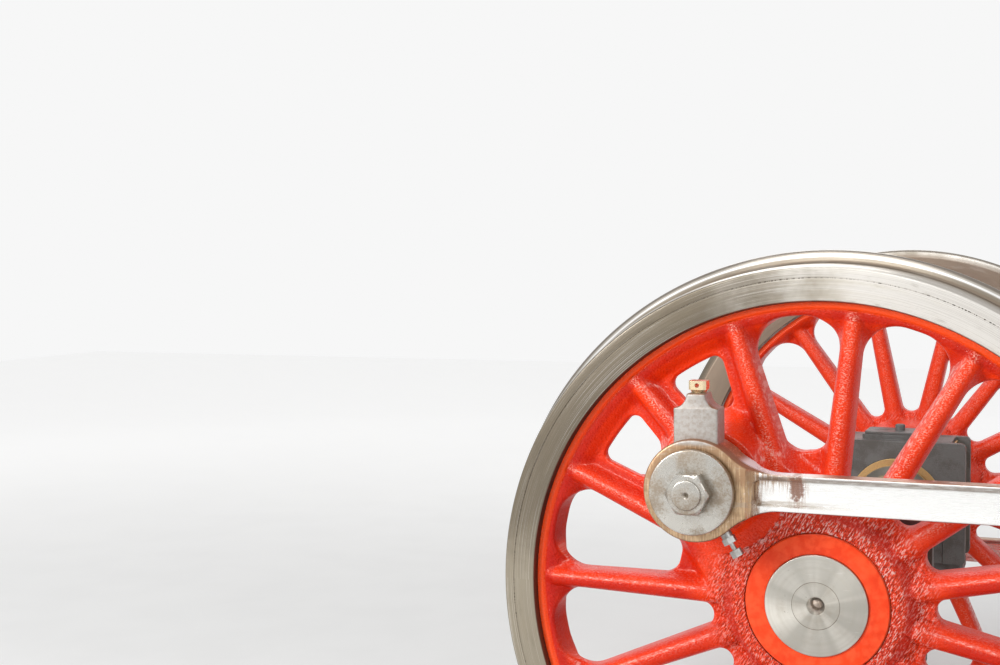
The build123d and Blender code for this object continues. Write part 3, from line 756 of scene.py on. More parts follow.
@dataclass(frozen=True)
class RodSteel:
    """Ground bright steel of a coupling rod, with grain along it and oil stains."""

    side: Side
    bright: Colour = (0.93, 0.925, 0.91)
    dull: Colour = (0.41, 0.385, 0.36)
    tan: Colour = (0.56, 0.38, 0.21)
    oil: Colour = (0.27, 0.14, 0.065)
    length: float = 1.650
    ground_face: float = 0.934

    def build(self) -> bpy.types.Material:
        """Makes the material.

        Returns:
            Steel tanned by oil round the eyes and on top, white in the
            flutes, with upright marks where they begin and one brown patch.
        """
        r = Recipe(f"rod_steel_{self.side.name}")
        x0, z0 = self.side.row_pin
        along, up = r.x - x0, r.z - z0
        ends = r.math("MINIMUM", abs(along), abs(along - self.length))
        forward, _, rising = r.parts(r.normal)
        plain = abs(forward).step(0.45, 0.85, 1.0, 0.12)
        grain = r.noise(1.0, 4.0, r.scaled((9.0, 300.0, 650.0)))
        streak = r.noise(1.0, 4.0, r.scaled((320.0, 60.0, 26.0)))
        blotch = r.noise(28.0, 5.0)
        pits = r.noise(170.0, 4.0)
        r.colour = r.mix(grain.step(0.52, 0.75) * 0.25, self.bright, (0.60, 0.57, 0.53))
        tanned = (ends + (streak - 0.5) * 0.05).step(0.122, 0.112)
        tone = r.mix(streak.step(0.36, 0.62) * plain, self.tan, (0.36, 0.215, 0.105))
        r.lay(tone, tanned * pits.step(0.72, 0.56, 0.74, 0.94))
        dirt = r.noise(52.0, 5.0).step(0.50, 0.68) * tanned * up.step(-0.10, 0.06, 0.25, 0.75)
        r.lay((0.25, 0.145, 0.07), dirt * plain)
        r.lay(self.oil, ends.line(0.121, 0.012) * streak.step(0.40, 0.52) * 0.85)
        heavy = streak + blotch * 0.5 + up.step(0.008, 0.026, 0.0, 0.16)
        hanging = ends.step(0.24, 0.14) * up.step(-0.010, 0.024)
        r.lay((0.37, 0.225, 0.13), hanging * heavy.step(0.68, 0.92) * 0.85)
        self.flute_edges(r, ends, up)
        dots = pits.step(0.67, 0.74) * plain * blotch.step(0.50, 0.60)
        r.lay((0.34, 0.27, 0.21), dots * 0.55)
        smear = up.step(0.004, 0.022) * self.scour(r).step(0.56, 0.68)
        r.lay((0.50, 0.44, 0.36), smear * 0.30)
        lug = up.step(0.088, 0.098) * ends.step(0.062, 0.054)
        r.lay(r.mix(r.noise(150.0, 5.0).step(0.35, 0.75), self.dull, (0.33, 0.29, 0.255)), lug)
        crown, clear = self.top_face(r, ends, up, rising, blotch)
        # Darker brown on the faces that face down.
        r.lay((0.16, 0.10, 0.07), rising.step(-0.45, -0.75) * 0.8)
        self.brown_patch(r, along, up, pits, streak)
        r.bend(grain, 0.00022, 0.6)
        r.bend(streak * tanned, 0.0005, 0.5)
        r.bend(pits * lug, 0.0007, 0.6)
        rough = grain * 0.14 + 0.20 + (tanned + (crown + lug)) * 0.14
        # The painted reflection on the top face is less metallic.
        return r.finish(Metallic=0.9 - clear * 0.8, Roughness=rough)

    def scour(self, r: Recipe) -> Value:
        """Noise in short strokes along the rod."""
        return r.noise(1.0, 4.0, r.scaled((34.0, 120.0, 210.0)))

    def flute_edges(self, r: Recipe, ends: Value, up: Value) -> None:
        """Lays a painted shadow under the flute's upper edge and the tan line above its lower edge.

        Args:
            r: The recipe.
            ends: Distance from the nearer crank pin.
            up: Height above it.
        """
        scour = self.scour(r)
        # Painted shadow: a dark grey and brown line under the flute's upper edge.
        rim = up.step(0.0205, 0.0250) * up.step(0.0352, 0.0315)
        flute_shadow = rim * scour.step(0.24, 0.60, 0.6, 1.0) * ends.step(0.118, 0.132)
        r.lay(r.mix(ends.step(0.24, 0.15), (0.27, 0.225, 0.19), (0.15, 0.085, 0.052)), flute_shadow * 0.90)
        brim = up.line(-0.0220, 0.0075) * ends.step(0.34, 0.15) * scour.step(0.38, 0.56)
        r.lay((0.43, 0.345, 0.265), brim * 0.62)

    def top_face(
        self, r: Recipe, ends: Value, up: Value, rising: Value, blotch: Value,
    ) -> tuple[Value, Value]:
        """Lays the top face: browned in front and along the rod, and a pale bluish painted reflection
        between the eyes' cheeks.

        Args:
            r: The recipe.
            ends: Distance from the nearer crank pin.
            up: Height above it.
            rising: Upward part of the surface's normal.
            blotch: Noise of middle size.

        Returns:
            Shares of browned metal and of the painted reflection.
        """
        reach = abs(r.y)
        top = rising.step(0.46, 0.78) * up.step(0.028, 0.033)
        front = reach.step(self.ground_face, self.ground_face + 0.006)
        browned = r.math("MAXIMUM", front, ends.step(0.17, 0.26))
        crown = top * browned * blotch.step(0.24, 0.42)
        # Painted reflection: pale bluish top face between the eyes' cheeks.
        clear = top * (1.0 - browned) * ends.step(0.08, 0.10)
        crease = top * reach.line(self.ground_face - 0.0015, 0.0018) * ends.step(0.25, 0.18)
        r.lay((0.29, 0.15, 0.085), crown * 0.92)
        r.lay((0.84, 0.86, 0.92), clear * 0.8)
        r.lay((0.08, 0.05, 0.05), crease * 0.85)
        return crown, clear

    def brown_patch(self, r: Recipe, along: Value, up: Value, pits: Value, streak: Value) -> None:
        """Lays one ragged rust patch, an ellipse whose edge is broken by noise.

        Args:
            r: The recipe.
            along: Distance ahead of the rear crank pin.
            up: Height above it.
            pits: Fine noise.
            streak: Noise drawn out upwards.
        """
        spot_x, spot_z = (along - 0.200) / 0.0145, (up - 0.012) / 0.029
        ragged = spot_x * spot_x + spot_z * spot_z + (pits - 0.5) * 2.6
        r.lay((0.40, 0.25, 0.17), ragged.step(3.4, 0.8) * streak.step(0.42, 0.60) * 0.45)
        r.lay((0.24, 0.105, 0.065), ragged.step(1.25, 0.55) * 0.85)


@dataclass(frozen=True)
class PlainMetal:
    """A metal or painted iron with worn spots, grime and a cast or cut surface."""

    name: str
    colour: Colour
    grime: Colour
    metallic: float
    roughness: float
    pit: float = 0.0004
    cover: float = 0.5
    scale: float = 60.0

    def build(self) -> bpy.types.Material:
        """Makes the material.

        Returns:
            The metal, its grime from two sizes of noise.
        """
        r = Recipe(self.name)
        fine = r.noise(self.scale * 5.0, 4.0)
        share = (r.noise(self.scale * 0.3, 5.0) * 0.7 + fine * 0.3).step(0.42, 0.62)
        r.colour = r.mix(share * self.cover, self.colour, self.grime)
        r.bend(fine, self.pit, 0.7)
        r.bend(r.noise(self.scale, 3.0), self.pit * 2.0, 0.4)
        return r.finish(Metallic=self.metallic, Roughness=share * 0.18 + self.roughness)


class Finishes:
    """All materials of the wheelset, made once."""

    def __init__(self) -> None:
        """Builds every material."""
        self.red = RedCasting().build()
        self.tyre = TyreSteel().build()
        self.turned = TurnedSteel().build()
        self.rods = {side.name: RodSteel(side).build() for side in SIDES}
        self.cup = PlainMetal(
            "oil_cup_brass", (0.82, 0.68, 0.45), (0.58, 0.42, 0.22), 0.95, 0.27, 0.0001, 0.6, 90.0,
        ).build()
        self.pin = PlainMetal(
            "pin_steel", (0.50, 0.48, 0.44), (0.21, 0.145, 0.085), 0.95, 0.26, 0.0003, 0.7,
        ).build()
        self.dark = PlainMetal(
            "dark_steel", (0.34, 0.32, 0.30), (0.13, 0.10, 0.08), 0.9, 0.34, 0.0003, 0.6,
        ).build()
        self.screw = PlainMetal(
            "screw_steel", (0.42, 0.42, 0.41), (0.20, 0.17, 0.14), 0.9, 0.34, 0.0003, 0.55,
        ).build()
        self.iron = PlainMetal(
            "grey_casting", (0.115, 0.112, 0.108), (0.060, 0.050, 0.042), 0.15, 0.42, 0.0011, 0.7,
        ).build()
        self.bronze = PlainMetal(
            "bronze", (0.60, 0.40, 0.18), (0.30, 0.19, 0.09), 0.95, 0.34, 0.0002, 0.38, 40.0,
        ).build()


def dress(
    piece: bpy.types.Object, finish: bpy.types.Material, body: str, slot: str, *nodes: str,
) -> bpy.types.Object:
    """Gives a piece its material and its place in the frame.

    Args:
        piece: The finished object.
        finish: Its material.
        body: Body that it rides on.
        slot: Material slot of the record, not used.
        nodes: CAD nodes that it stands for.

    Returns:
        The piece.
    """
    piece.data.materials.clear()
    piece.data.materials.append(finish)
    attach(piece, body)
    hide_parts(*nodes)
    log.info("%s: %d faces on %s", piece.name, len(piece.data.polygons), body)
    return piece


def eased_copy(node: str, width: float, angle: float = 30.0) -> bpy.types.Object:
    """Copy of a CAD node with its triangles merged and its edges bevelled.

    Args:
        node: Name of the CAD node.
        width: Width of the bevel in millimetres.
        angle: Least angle of a bevelled edge in degrees.

    Returns:
        The copy, named after the node.
    """
    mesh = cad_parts[node].data.copy()
    mesh.materials.clear()
    work = bmesh.new()
    work.from_mesh(mesh)
    bmesh.ops.remove_doubles(work, verts=work.verts, dist=1e-5)
    bmesh.ops.dissolve_limit(work, angle_limit=math.radians(1.0), verts=work.verts, edges=work.edges)
    work.to_mesh(mesh)
    work.free()
    mesh.shade_smooth()
    mesh.set_sharp_from_angle(angle=math.radians(angle))
    piece = placed(f"{node}_eased", mesh)
    bevel = piece.modifiers.new("eased_edges", "BEVEL")
    bevel.width = width * MM
    bevel.segments = 2
    bevel.limit_method = "ANGLE"
    bevel.angle_limit = math.radians(angle)
    bevel.use_clamp_overlap = True
    bevel.harden_normals = False
    return piece


# Wheels


@dataclass
class Tyre:
    """Steel tyre: coned tread, rounded flange, lips, and a wear mark turned in its face."""

    side: Side
    width: float = 140.0
    tread: float = 700.0
    thickness: float = 70.0
    flange: float = 28.0
    lip_width: float = 20.0
    lip_height: float = 8.0
    ring_groove: float = 131.0
    mark: float = 671.9
    segments: int = 288

    def outline(self) -> np.ndarray:
        """Outline of the section, its corners rounded.

        Returns:
            Array of (depth, radius).
        """
        inner = self.tread - self.thickness
        lip = inner - self.lip_height
        tip = self.tread + self.flange
        return eased([
            (0.0, self.tread - 7.5, 4.0), (13.0, self.tread - 2.9, 10.0), (101.0, self.tread + 1.4, 15.0),
            (117.5, tip, 9.5), (129.5, tip, 9.0), (self.width, tip - 22.0, 8.0),
            (self.width, lip, 1.5), (self.ring_groove, lip, 1.0), (self.ring_groove, inner, 0.3),
            (self.lip_width, inner, 0.3), (self.lip_width, lip, 0.5), (0.0, lip + 3.0, 1.8),
            (0.0, self.mark - 0.7, 0.2), (0.9, self.mark, 0.3), (0.0, self.mark + 0.7, 0.2),
        ], 6)

    def build(self, finishes: Finishes) -> None:
        """Builds the tyre and dresses it.

        Args:
            finishes: The materials.
        """
        grid = self.side.turned(self.outline(), segments=self.segments)
        piece = Surface().shell(grid).build(f"tyre_turned_{self.side.name}", 40)
        dress(piece, finishes.tyre, "wheelset", "tyre_steel", f"tyre_{self.side.name}")


@dataclass(frozen=True)
class Opening:
    """Window between two spokes: its radii, corner radii, inset, and where its grid begins."""

    inner: float
    outer: float
    inner_corner: float
    outer_corner: float
    inset: float
    start: float


@dataclass
class WheelCentre:
    """Cast wheel centre whose two faces are heights over the wheel plane."""

    side: Side
    rim: float = 607.0
    bore: float = 105.75
    ring: float = 147.6
    seat: float = 629.95
    pin_seat: float = 75.05
    boss: float = 117.0
    swell: float = 0.01825
    root: float = 31.02
    spoke_start: float = 166.0
    plate: tuple[float, float] = (42.0, 82.0)
    web: tuple[float, float] = (186.0, 126.0)
    chord: float = 436.0
    ease: float = 7.0
    plain: Opening = Opening(232.0, 595.0, 27.0, 72.0, 0.0, 150.0)
    raised: Opening = Opening(310.0, 595.0, 42.0, 72.0, 0.0, 282.0)
    small: Opening = Opening(442.0, 555.0, 20.0, 20.0, 30.0, 418.0)
    heavy: Opening = Opening(232.0, 440.0, 27.0, 40.0, 0.0, 150.0)

    def opening(self, sector: int) -> Opening:
        """Opening that lies in a sector.

        Args:
            sector: Number of the sector, counted from the crank.

        Returns:
            The opening.
        """
        if sector in (0, SPOKES - 1):
            return self.small
        if sector in (1, SPOKES - 2):
            return self.raised
        opposite = (SPOKES - WEIGHT_WINDOWS) // 2
        return self.heavy if opposite <= sector < opposite + WEIGHT_WINDOWS else self.plain

    def half_width(self, along: np.ndarray) -> np.ndarray:
        """Half width of a spoke, falling evenly along it: root - swell * along."""
        return self.root - self.swell * along

    def nearest_spoke(self, x: np.ndarray, y: np.ndarray) -> tuple[np.ndarray, np.ndarray]:
        """Distances along and across the nearest spoke.

        Formula: the point is turned back by the multiple of the spoke step
        that brings it nearest to the first spoke.

        Args:
            x: Places along the crank.
            y: Places across it.

        Returns:
            Both distances.
        """
        angle = np.arctan2(y, x)
        left = angle - np.round(angle / SPOKE_STEP) * SPOKE_STEP
        radius = np.hypot(x, y)
        return radius * np.cos(left), np.abs(radius * np.sin(left))

    def crank_web(self, x: np.ndarray, y: np.ndarray) -> np.ndarray:
        """Distance outside the hull of a circle round the hub and one round the boss.

        Formula: beyond the tangent points it is the distance from the nearer
        circle, and between them the distance from the common tangent.

        Args:
            x: Places along the crank.
            y: Places across it.

        Returns:
            The distances, negative inside.
        """
        hub, boss = self.web
        b = (hub - boss) / THROW
        a = math.sqrt(1 - b * b)
        across = np.abs(y)
        k = -b * across + a * x
        low = np.hypot(x, y) - hub
        high = np.hypot(x - THROW, y) - boss
        side = a * across + b * x - hub
        return np.where(k < 0, low, np.where(k > a * THROW, high, side))

    def weight_edge(self, x: np.ndarray, y: np.ndarray) -> np.ndarray:
        """Distance outside the balance weight's straight chord and its two radial ends."""
        half = WEIGHT_WINDOWS * SPOKE_STEP / 2
        return np.maximum(self.chord + x, np.abs(y) * math.cos(half) + x * math.sin(half))

    def spoke_section(self, along: np.ndarray, across: np.ndarray, bulge: float) -> np.ndarray:
        """Drop of a spoke's elliptical back from its crest, and its steep fall beyond its width.

        Formula: bulge * w * (1 - sqrt(1 - (across / w)^2)), and 2.2 for each
        millimetre beyond the half width w.

        Args:
            along: Distances along the spoke.
            across: Distances from its middle line.
            bulge: Height of the ellipse as a share of the half width.

        Returns:
            The drops.
        """
        width = self.half_width(along)
        share = np.clip(across / width, 0, 1)
        fall = 2.2 * np.maximum(across - width, 0)
        return bulge * width * (1 - np.sqrt(np.maximum(1 - share * share, 0))) + fall

    def at_window(self, along: np.ndarray, across: np.ndarray) -> np.ndarray:
        """Share of the plate's thinning towards a plain window.

        Formula: the rise from -3 to 9 of the depth inside the window's outline,
        which is the soft minimum of the depths inside its three sides.

        Args:
            along: Distances along the nearest spoke.
            across: Distances from its middle line.

        Returns:
            The shares.
        """
        flank = across - self.half_width(along)
        radius = np.hypot(along, across)
        low = soft_min(flank, radius - self.plain.inner, 30.0)
        return rise(soft_min(low, self.plain.outer - radius, 50.0), -3.0, 9.0)

    def front(self, x: np.ndarray, y: np.ndarray) -> np.ndarray:
        """Depth of the front face, the crank lying along x.

        Formula: the soft minimum of the web plate, the rim, the spokes'
        elliptical ridges, the hub, the crank web, the boss's foot and the
        balance weight.

        Args:
            x: Places along the crank.
            y: Places across it.

        Returns:
            The depths below the tyre's face.
        """
        along, across = self.nearest_spoke(x, y)
        radius = np.hypot(x, y)
        crest = 10.0 + self.swell * (along - self.spoke_start) + 8.0 * rise(along, 585.0, self.rim)
        groove = 10.0 * np.exp(-((along - 187.0) / 9.0) ** 2)
        ridge = crest + groove + self.spoke_section(along, across, 1.3)
        plate = self.plate[0] + 14.0 * self.at_window(along, across)
        rim = 26.0 + 0.055 * np.maximum(604.0 - radius, 0) ** 1.75
        hub = 4.0 + 8.0 * (np.maximum(radius - 162.0, 0) / 14.0) ** 2.1
        web = self.crank_web(x, y)
        webbed = 8.0 + rolled(web, 9.0) + 1.9 * np.maximum(web, 0)
        foot = 4.0 * (np.hypot(x - THROW, y) - 118.0) - 4.0
        weight = self.weight_edge(x, y)
        weighted = 28.0 + rolled(weight, 5.0) + 3.0 * np.maximum(weight, 0)
        forms = (
            (rim, 12.0), (ridge, 12.0), (hub, 8.0), (webbed, 16.0),
            (np.maximum(foot, -32.0), 16.0), (weighted, 5.0),
        )
        return reduce(lambda depth, form: soft_min(depth, *form), forms, plate)

    def back(self, x: np.ndarray, y: np.ndarray) -> np.ndarray:
        """Depth of the back face, the crank lying along x.

        Formula: the soft maximum of the front face's forms seen from behind.

        Args:
            x: Places along the crank.
            y: Places across it.

        Returns:
            The depths below the tyre's face.
        """
        along, across = self.nearest_spoke(x, y)
        radius = np.hypot(x, y)
        crest = 110.0 - self.swell * (along - self.spoke_start)
        ridge = crest - self.spoke_section(along, across, 1.0)
        plate = self.plate[1] + 16.0 * self.at_window(along, across) * (radius < 460)
        rim = 120.0 - 0.09 * np.maximum(self.rim - radius, 0) ** 1.8
        hub = 198.0 - 8.0 * (np.maximum(radius - 176.0, 0) / 13.0) ** 2.4
        webbed = 118.0 - 3.0 * np.maximum(self.crank_web(x, y) + 4.0, 0)
        foot = 125.4 - 3.0 * np.maximum(np.hypot(x - THROW, y) - 122.0, 0)
        weighted = 126.0 - 4.0 * np.maximum(self.weight_edge(x, y) + 3.0, 0)
        forms = (
            (rim, 12.0), (ridge, 12.0), (np.maximum(hub, 40.0), 14.0), (webbed, 12.0),
            (foot, 8.0), (weighted, 6.0),
        )
        return reduce(lambda depth, form: soft_max(depth, *form), forms, plate)

    def edges(self, opening: Opening, travel: np.ndarray) -> tuple[np.ndarray, np.ndarray]:
        """Matching points of a half sector's border and of its window's outline.

        Formula: the border runs along the inner circle to the spoke's middle
        line, along it, and along the rim. The outline's arcs have their
        centres at radius outer - corner or inner + corner, a corner radius
        off the spoke's side. Both are read at the same share of travel
        between the same five breaks.

        Args:
            opening: The window.
            travel: Distances along the border in millimetres.

        Returns:
            Border points and outline points, arrays (n, 2), the spoke along x.
        """
        half = SPOKE_STEP / 2
        lean = math.atan(self.swell)
        s = np.linspace(0, 1, 41)[:, None]

        def centre(corner: float, reach: float) -> Pair:
            """Centre of a corner's arc.

            Args:
                corner: Radius of the arc, and its centre's distance off the spoke.
                reach: The centre's distance from the axle.

            Returns:
                Its place, the spoke along x.
            """
            off, t = self.root + opening.inset + corner / math.cos(lean), self.swell
            root = math.sqrt((t * off) ** 2 - (1 + t * t) * (off * off - reach * reach))
            a = (t * off + root) / (1 + t * t)
            return a, off - a * t

        def arc(middle: Pair, radius: float, first: float, last: float) -> np.ndarray:
            """Points of an arc from one angle to another."""
            turn = first + (last - first) * s
            return np.hstack([middle[0] + radius * np.cos(turn), middle[1] + radius * np.sin(turn)])

        far = centre(opening.outer_corner, opening.outer - opening.outer_corner)
        near = centre(opening.inner_corner, opening.inner + opening.inner_corner)
        far_angle, near_angle = math.atan2(far[1], far[0]), math.atan2(near[1], near[0])
        flat = -math.pi / 2 - lean
        low_arc = arc((0, 0), opening.inner, half, near_angle)
        low_corner = arc(near, opening.inner_corner, near_angle - math.pi, flat)
        high_corner = arc(far, opening.outer_corner, flat, far_angle)
        high_arc = arc((0, 0), opening.outer, far_angle, half)
        side = low_corner[-1] + (high_corner[0] - low_corner[-1]) * s
        outline = np.vstack([low_arc, low_corner, side, high_corner, high_arc])
        first = opening.start * half
        total = first + (self.rim - opening.start) + self.rim * half
        breaks = np.array([
            0, opening.start * (half - near_angle), first + side[0, 0] - opening.start,
            first + side[-1, 0] - opening.start, total - self.rim * (half - far_angle), total,
        ])
        at = np.concatenate([breaks[i] + (breaks[i + 1] - breaks[i]) * s[:, 0] for i in range(5)])
        at += np.arange(len(at)) * 1e-9
        inner = np.stack([np.interp(travel, at, outline[:, i]) for i in (0, 1)], -1)
        past = np.maximum(travel - first - (self.rim - opening.start), 0)
        turn = np.where(travel < first, (first - travel) / opening.start, past / self.rim)
        reach = np.clip(opening.start + travel - first, opening.start, self.rim)
        border = np.stack([reach * np.cos(turn), reach * np.sin(turn)], -1)
        return border, inner

    def marks(self, low: float, high: float) -> np.ndarray:
        """Radii at which frames and webs have points.

        Args:
            low: Least radius.
            high: Greatest radius.

        Returns:
            The radii, rising.
        """
        hub, raised, small = self.plain.start, self.raised.start, self.small.start
        every = np.unique(np.round(np.concatenate([
            np.arange(hub, raised, 6), np.arange(raised, small, 8),
            np.arange(small, 540, 8.5), np.linspace(540, self.rim, 16),
        ]), 3))
        return every[(every >= low) & (every <= high)]

    def rows(self, window: np.ndarray, border: np.ndarray, sector: int) -> np.ndarray:
        """Shares of the way from the window to the border at which a sector's rows lie.

        Formula: share k / 13 to the power 1.35. Where the balance weight's
        chord crosses the sector, one row follows it, c / (c - d) with the
        distances c and d of the window and the border from the chord. Rows
        3.5 before it and 5 after it hold the weight's edge.

        Args:
            window: Points of the window's outline, the sector's first spoke along x.
            border: Points of the sector's border.
            sector: Number of the sector.

        Returns:
            Array (14, points).
        """
        if self.opening(sector) is not self.heavy:
            return np.linspace(0, 1, 14)[:, None] ** 1.35 * np.ones(len(window))
        start, stop = (self.chord + self.rotate(points, sector)[:, 0] for points in (window, border))
        fall = np.maximum(start - stop, 40.0)
        at = np.clip(start / fall, 0.035, 0.93)
        before, after = at - np.minimum(3.5 / fall, 0.03), at + np.minimum(5.0 / fall, 0.05)
        low = np.linspace(0, 1, 7)[:, None] ** 1.35 * before
        high = after + (1 - after) * (1 - (1 - np.linspace(0, 1, 6)[:, None]) ** 1.3)
        return np.vstack([low, at, high])

    def frame_of(self, sector: int, opening: Opening, steps: int) -> Grid:
        """Grid of the frame round a sector's window, from its front to its back.

        Formula: a row at share t lies at window + t * (border - window). Its
        depth is the face's height, rounded over near the window by
        e - sqrt(e * e - (e - distance)^2).

        Args:
            sector: Number of the sector, counted from the crank.
            opening: Its window.
            steps: Number of spans along the inner circle.

        Returns:
            The grid and its wrap.
        """
        first = opening.start * SPOKE_STEP / 2
        straight = self.rim - opening.start
        low = np.linspace(0, first, steps, endpoint=False)
        high = first + straight + np.linspace(0, self.rim * SPOKE_STEP / 2, 19)[1:]
        middle = first + self.marks(opening.start, self.rim) - opening.start
        border, window = self.edges(opening, np.concatenate([low, middle, high]))
        border = np.vstack([border, self.mirror(border)[-2:0:-1]])
        window = np.vstack([window, self.mirror(window)[-2:0:-1]])
        t = self.rows(window, border, sector)[:, :, None]
        gap = np.linalg.norm(border - window, axis=1) * t[:, :, 0]
        flat = self.rotate(window + (border - window) * t, sector)
        x, y = flat[..., 0], flat[..., 1]
        over = np.maximum(self.ease - gap, 0)
        drop = self.ease - np.sqrt(self.ease * self.ease - over * over)
        front = self.front(x, y) + drop
        back = self.back(x, y) - drop
        wall = np.linspace(0, 1, 4)[1:-1, None]
        depth = np.vstack([front[::-1], front[0] + (back[0] - front[0]) * wall, back])
        x, y = (np.vstack([part[::-1], np.repeat(part[:1], len(wall), 0), part]) for part in (x, y))
        return self.turn_to_crank(x, y, depth), Wrap.COLUMNS

    def sector(self, sector: int) -> list[Grid]:
        """Grids of one sector: a frame round its window and a web on each face below it.

        Args:
            sector: Number of the sector, counted from the crank.

        Returns:
            Grids with their wraps.
        """
        opening = self.opening(sector)
        steps = max(3, int(opening.start * SPOKE_STEP / 2 / 6))
        grids = [self.frame_of(sector, opening, steps)]
        if opening.start > self.plain.start:
            fan = np.linspace(0, SPOKE_STEP, 2 * steps + 1) + sector * SPOKE_STEP
            radius, angle = np.meshgrid(self.marks(self.plain.start, opening.start), fan, indexing="ij")
            x, y = radius * np.cos(angle), radius * np.sin(angle)
            grids.append((self.turn_to_crank(x, y, self.front(x, y)), Wrap.NONE))
            grids.append((self.turn_to_crank(x, y, self.back(x, y))[::-1], Wrap.NONE))
        return grids

    def mirror(self, points: np.ndarray) -> np.ndarray:
        """Points mirrored in the sector's middle line: (cos s, sin s; sin s, -cos s) applied to each."""
        c, s = math.cos(SPOKE_STEP), math.sin(SPOKE_STEP)
        return points @ np.array([[c, s], [s, -c]])

    def rotate(self, points: np.ndarray, sector: int) -> np.ndarray:
        """Points turned by a number of spoke steps."""
        c, s = math.cos(sector * SPOKE_STEP), math.sin(sector * SPOKE_STEP)
        return points @ np.array([[c, s], [-s, c]])

    def turn_to_crank(self, x: np.ndarray, y: np.ndarray, depth: np.ndarray) -> np.ndarray:
        """Row places of points given with the crank along x."""
        c, s = math.cos(self.side.turn), math.sin(self.side.turn)
        return self.side.place(c * x - s * y, s * x + c * y, depth)

    def build(self, finishes: Finishes) -> None:
        """Builds the centre as one welded casting, with its turned rings, and dresses it.

        Args:
            finishes: The materials.
        """
        bore, ring, seat, pin_seat, boss = self.bore, self.ring, self.seat, self.pin_seat, self.boss
        hub_ring = eased([
            (-2.0, bore + 1.25, 0.8), (-2.0, ring - 1.9, 1.6), (2.6, ring, 2.2), (4.4, ring + 3.4, 0.5),
            (197.0, ring + 3.4, 0.5), (198.0, ring + 1.9, 0.3), (198.0, bore + 1.25, 0.8),
            (196.5, bore, 0.3), (-0.8, bore, 0.3),
        ], 2)
        rim_band = eased([
            (20.3, seat, 0.5), (20.3, 611.5, 3.0), (26.5, self.rim, 4.0), (27.5, 602.0, 0.5),
            (60.0, 604.0, 0.5), (118.5, 603.0, 0.5), (120.0, 606.0, 0.5), (120.0, seat, 1.0),
        ], 2)
        pin_boss = eased([
            (-40.0, pin_seat + 1.45, 0.8), (-40.0, boss - 4.2, 4.5), (14.0, boss, 0.5), (120.0, boss, 0.5),
            (126.0, boss - 1.0, 0.5), (126.0, pin_seat + 1.45, 0.8), (124.5, pin_seat, 0.3),
            (-38.5, pin_seat, 0.3),
        ], 3)
        surface = Surface()
        surface.shell(*(grid for sector in range(SPOKES) for grid in self.sector(sector)))
        surface.shell(self.side.turned(hub_ring, segments=192))
        surface.shell(self.side.turned(rim_band, segments=288))
        surface.shell(self.side.turned(pin_boss, self.side.pin))
        piece = surface.build(f"cast_wheel_centre_{self.side.name}", 50)
        dress(piece, finishes.red, "wheelset", "red_casting", f"wheel_centre_{self.side.name}")


# Axle and cranks


@dataclass
class Axle:
    """Axle with its seats, journals and collars, turned between centres."""

    end: float = 828.0
    seat: float = 105.7
    journal: float = 100.0
    collar: float = 112.0
    body: float = 92.0
    centre_hole: float = 11.0

    def build(self, finishes: Finishes) -> None:
        """Builds the axle and dresses it.

        Formula: the half outline runs from the middle of the axle to its end
        and back into the centre hole. It is mirrored along the axis.

        Args:
            finishes: The materials.
        """
        hole, bottom = self.centre_hole, self.end - 41.0
        half = eased([
            (0.0, self.body, 0.2), (354.0, self.body, 60.0), (394.0, self.collar, 4.0),
            (410.0, self.collar, 2.0), (414.0, self.journal, 2.0), (616.0, self.journal, 3.0),
            (620.0, self.seat, 1.0), (self.end, self.seat, 2.6), (self.end, hole + 8.0, 1.2),
            (self.end - 10.0, hole, 0.8), (self.end - 34.0, hole, 0.5), (bottom, 0.0, 0.2),
        ], 5)[3:-5]
        half = np.vstack([half, [[bottom, 0.0]]])
        whole = np.vstack([half, (half * [-1, 1])[::-1]])
        outline = np.stack([FACE - whole[:, 0], whole[:, 1]], -1)
        piece = Surface().shell(SIDES[1].turned(outline, segments=192)).build("turned_axle", 32)
        dress(piece, finishes.turned, "wheelset", "bare_steel", "axle")


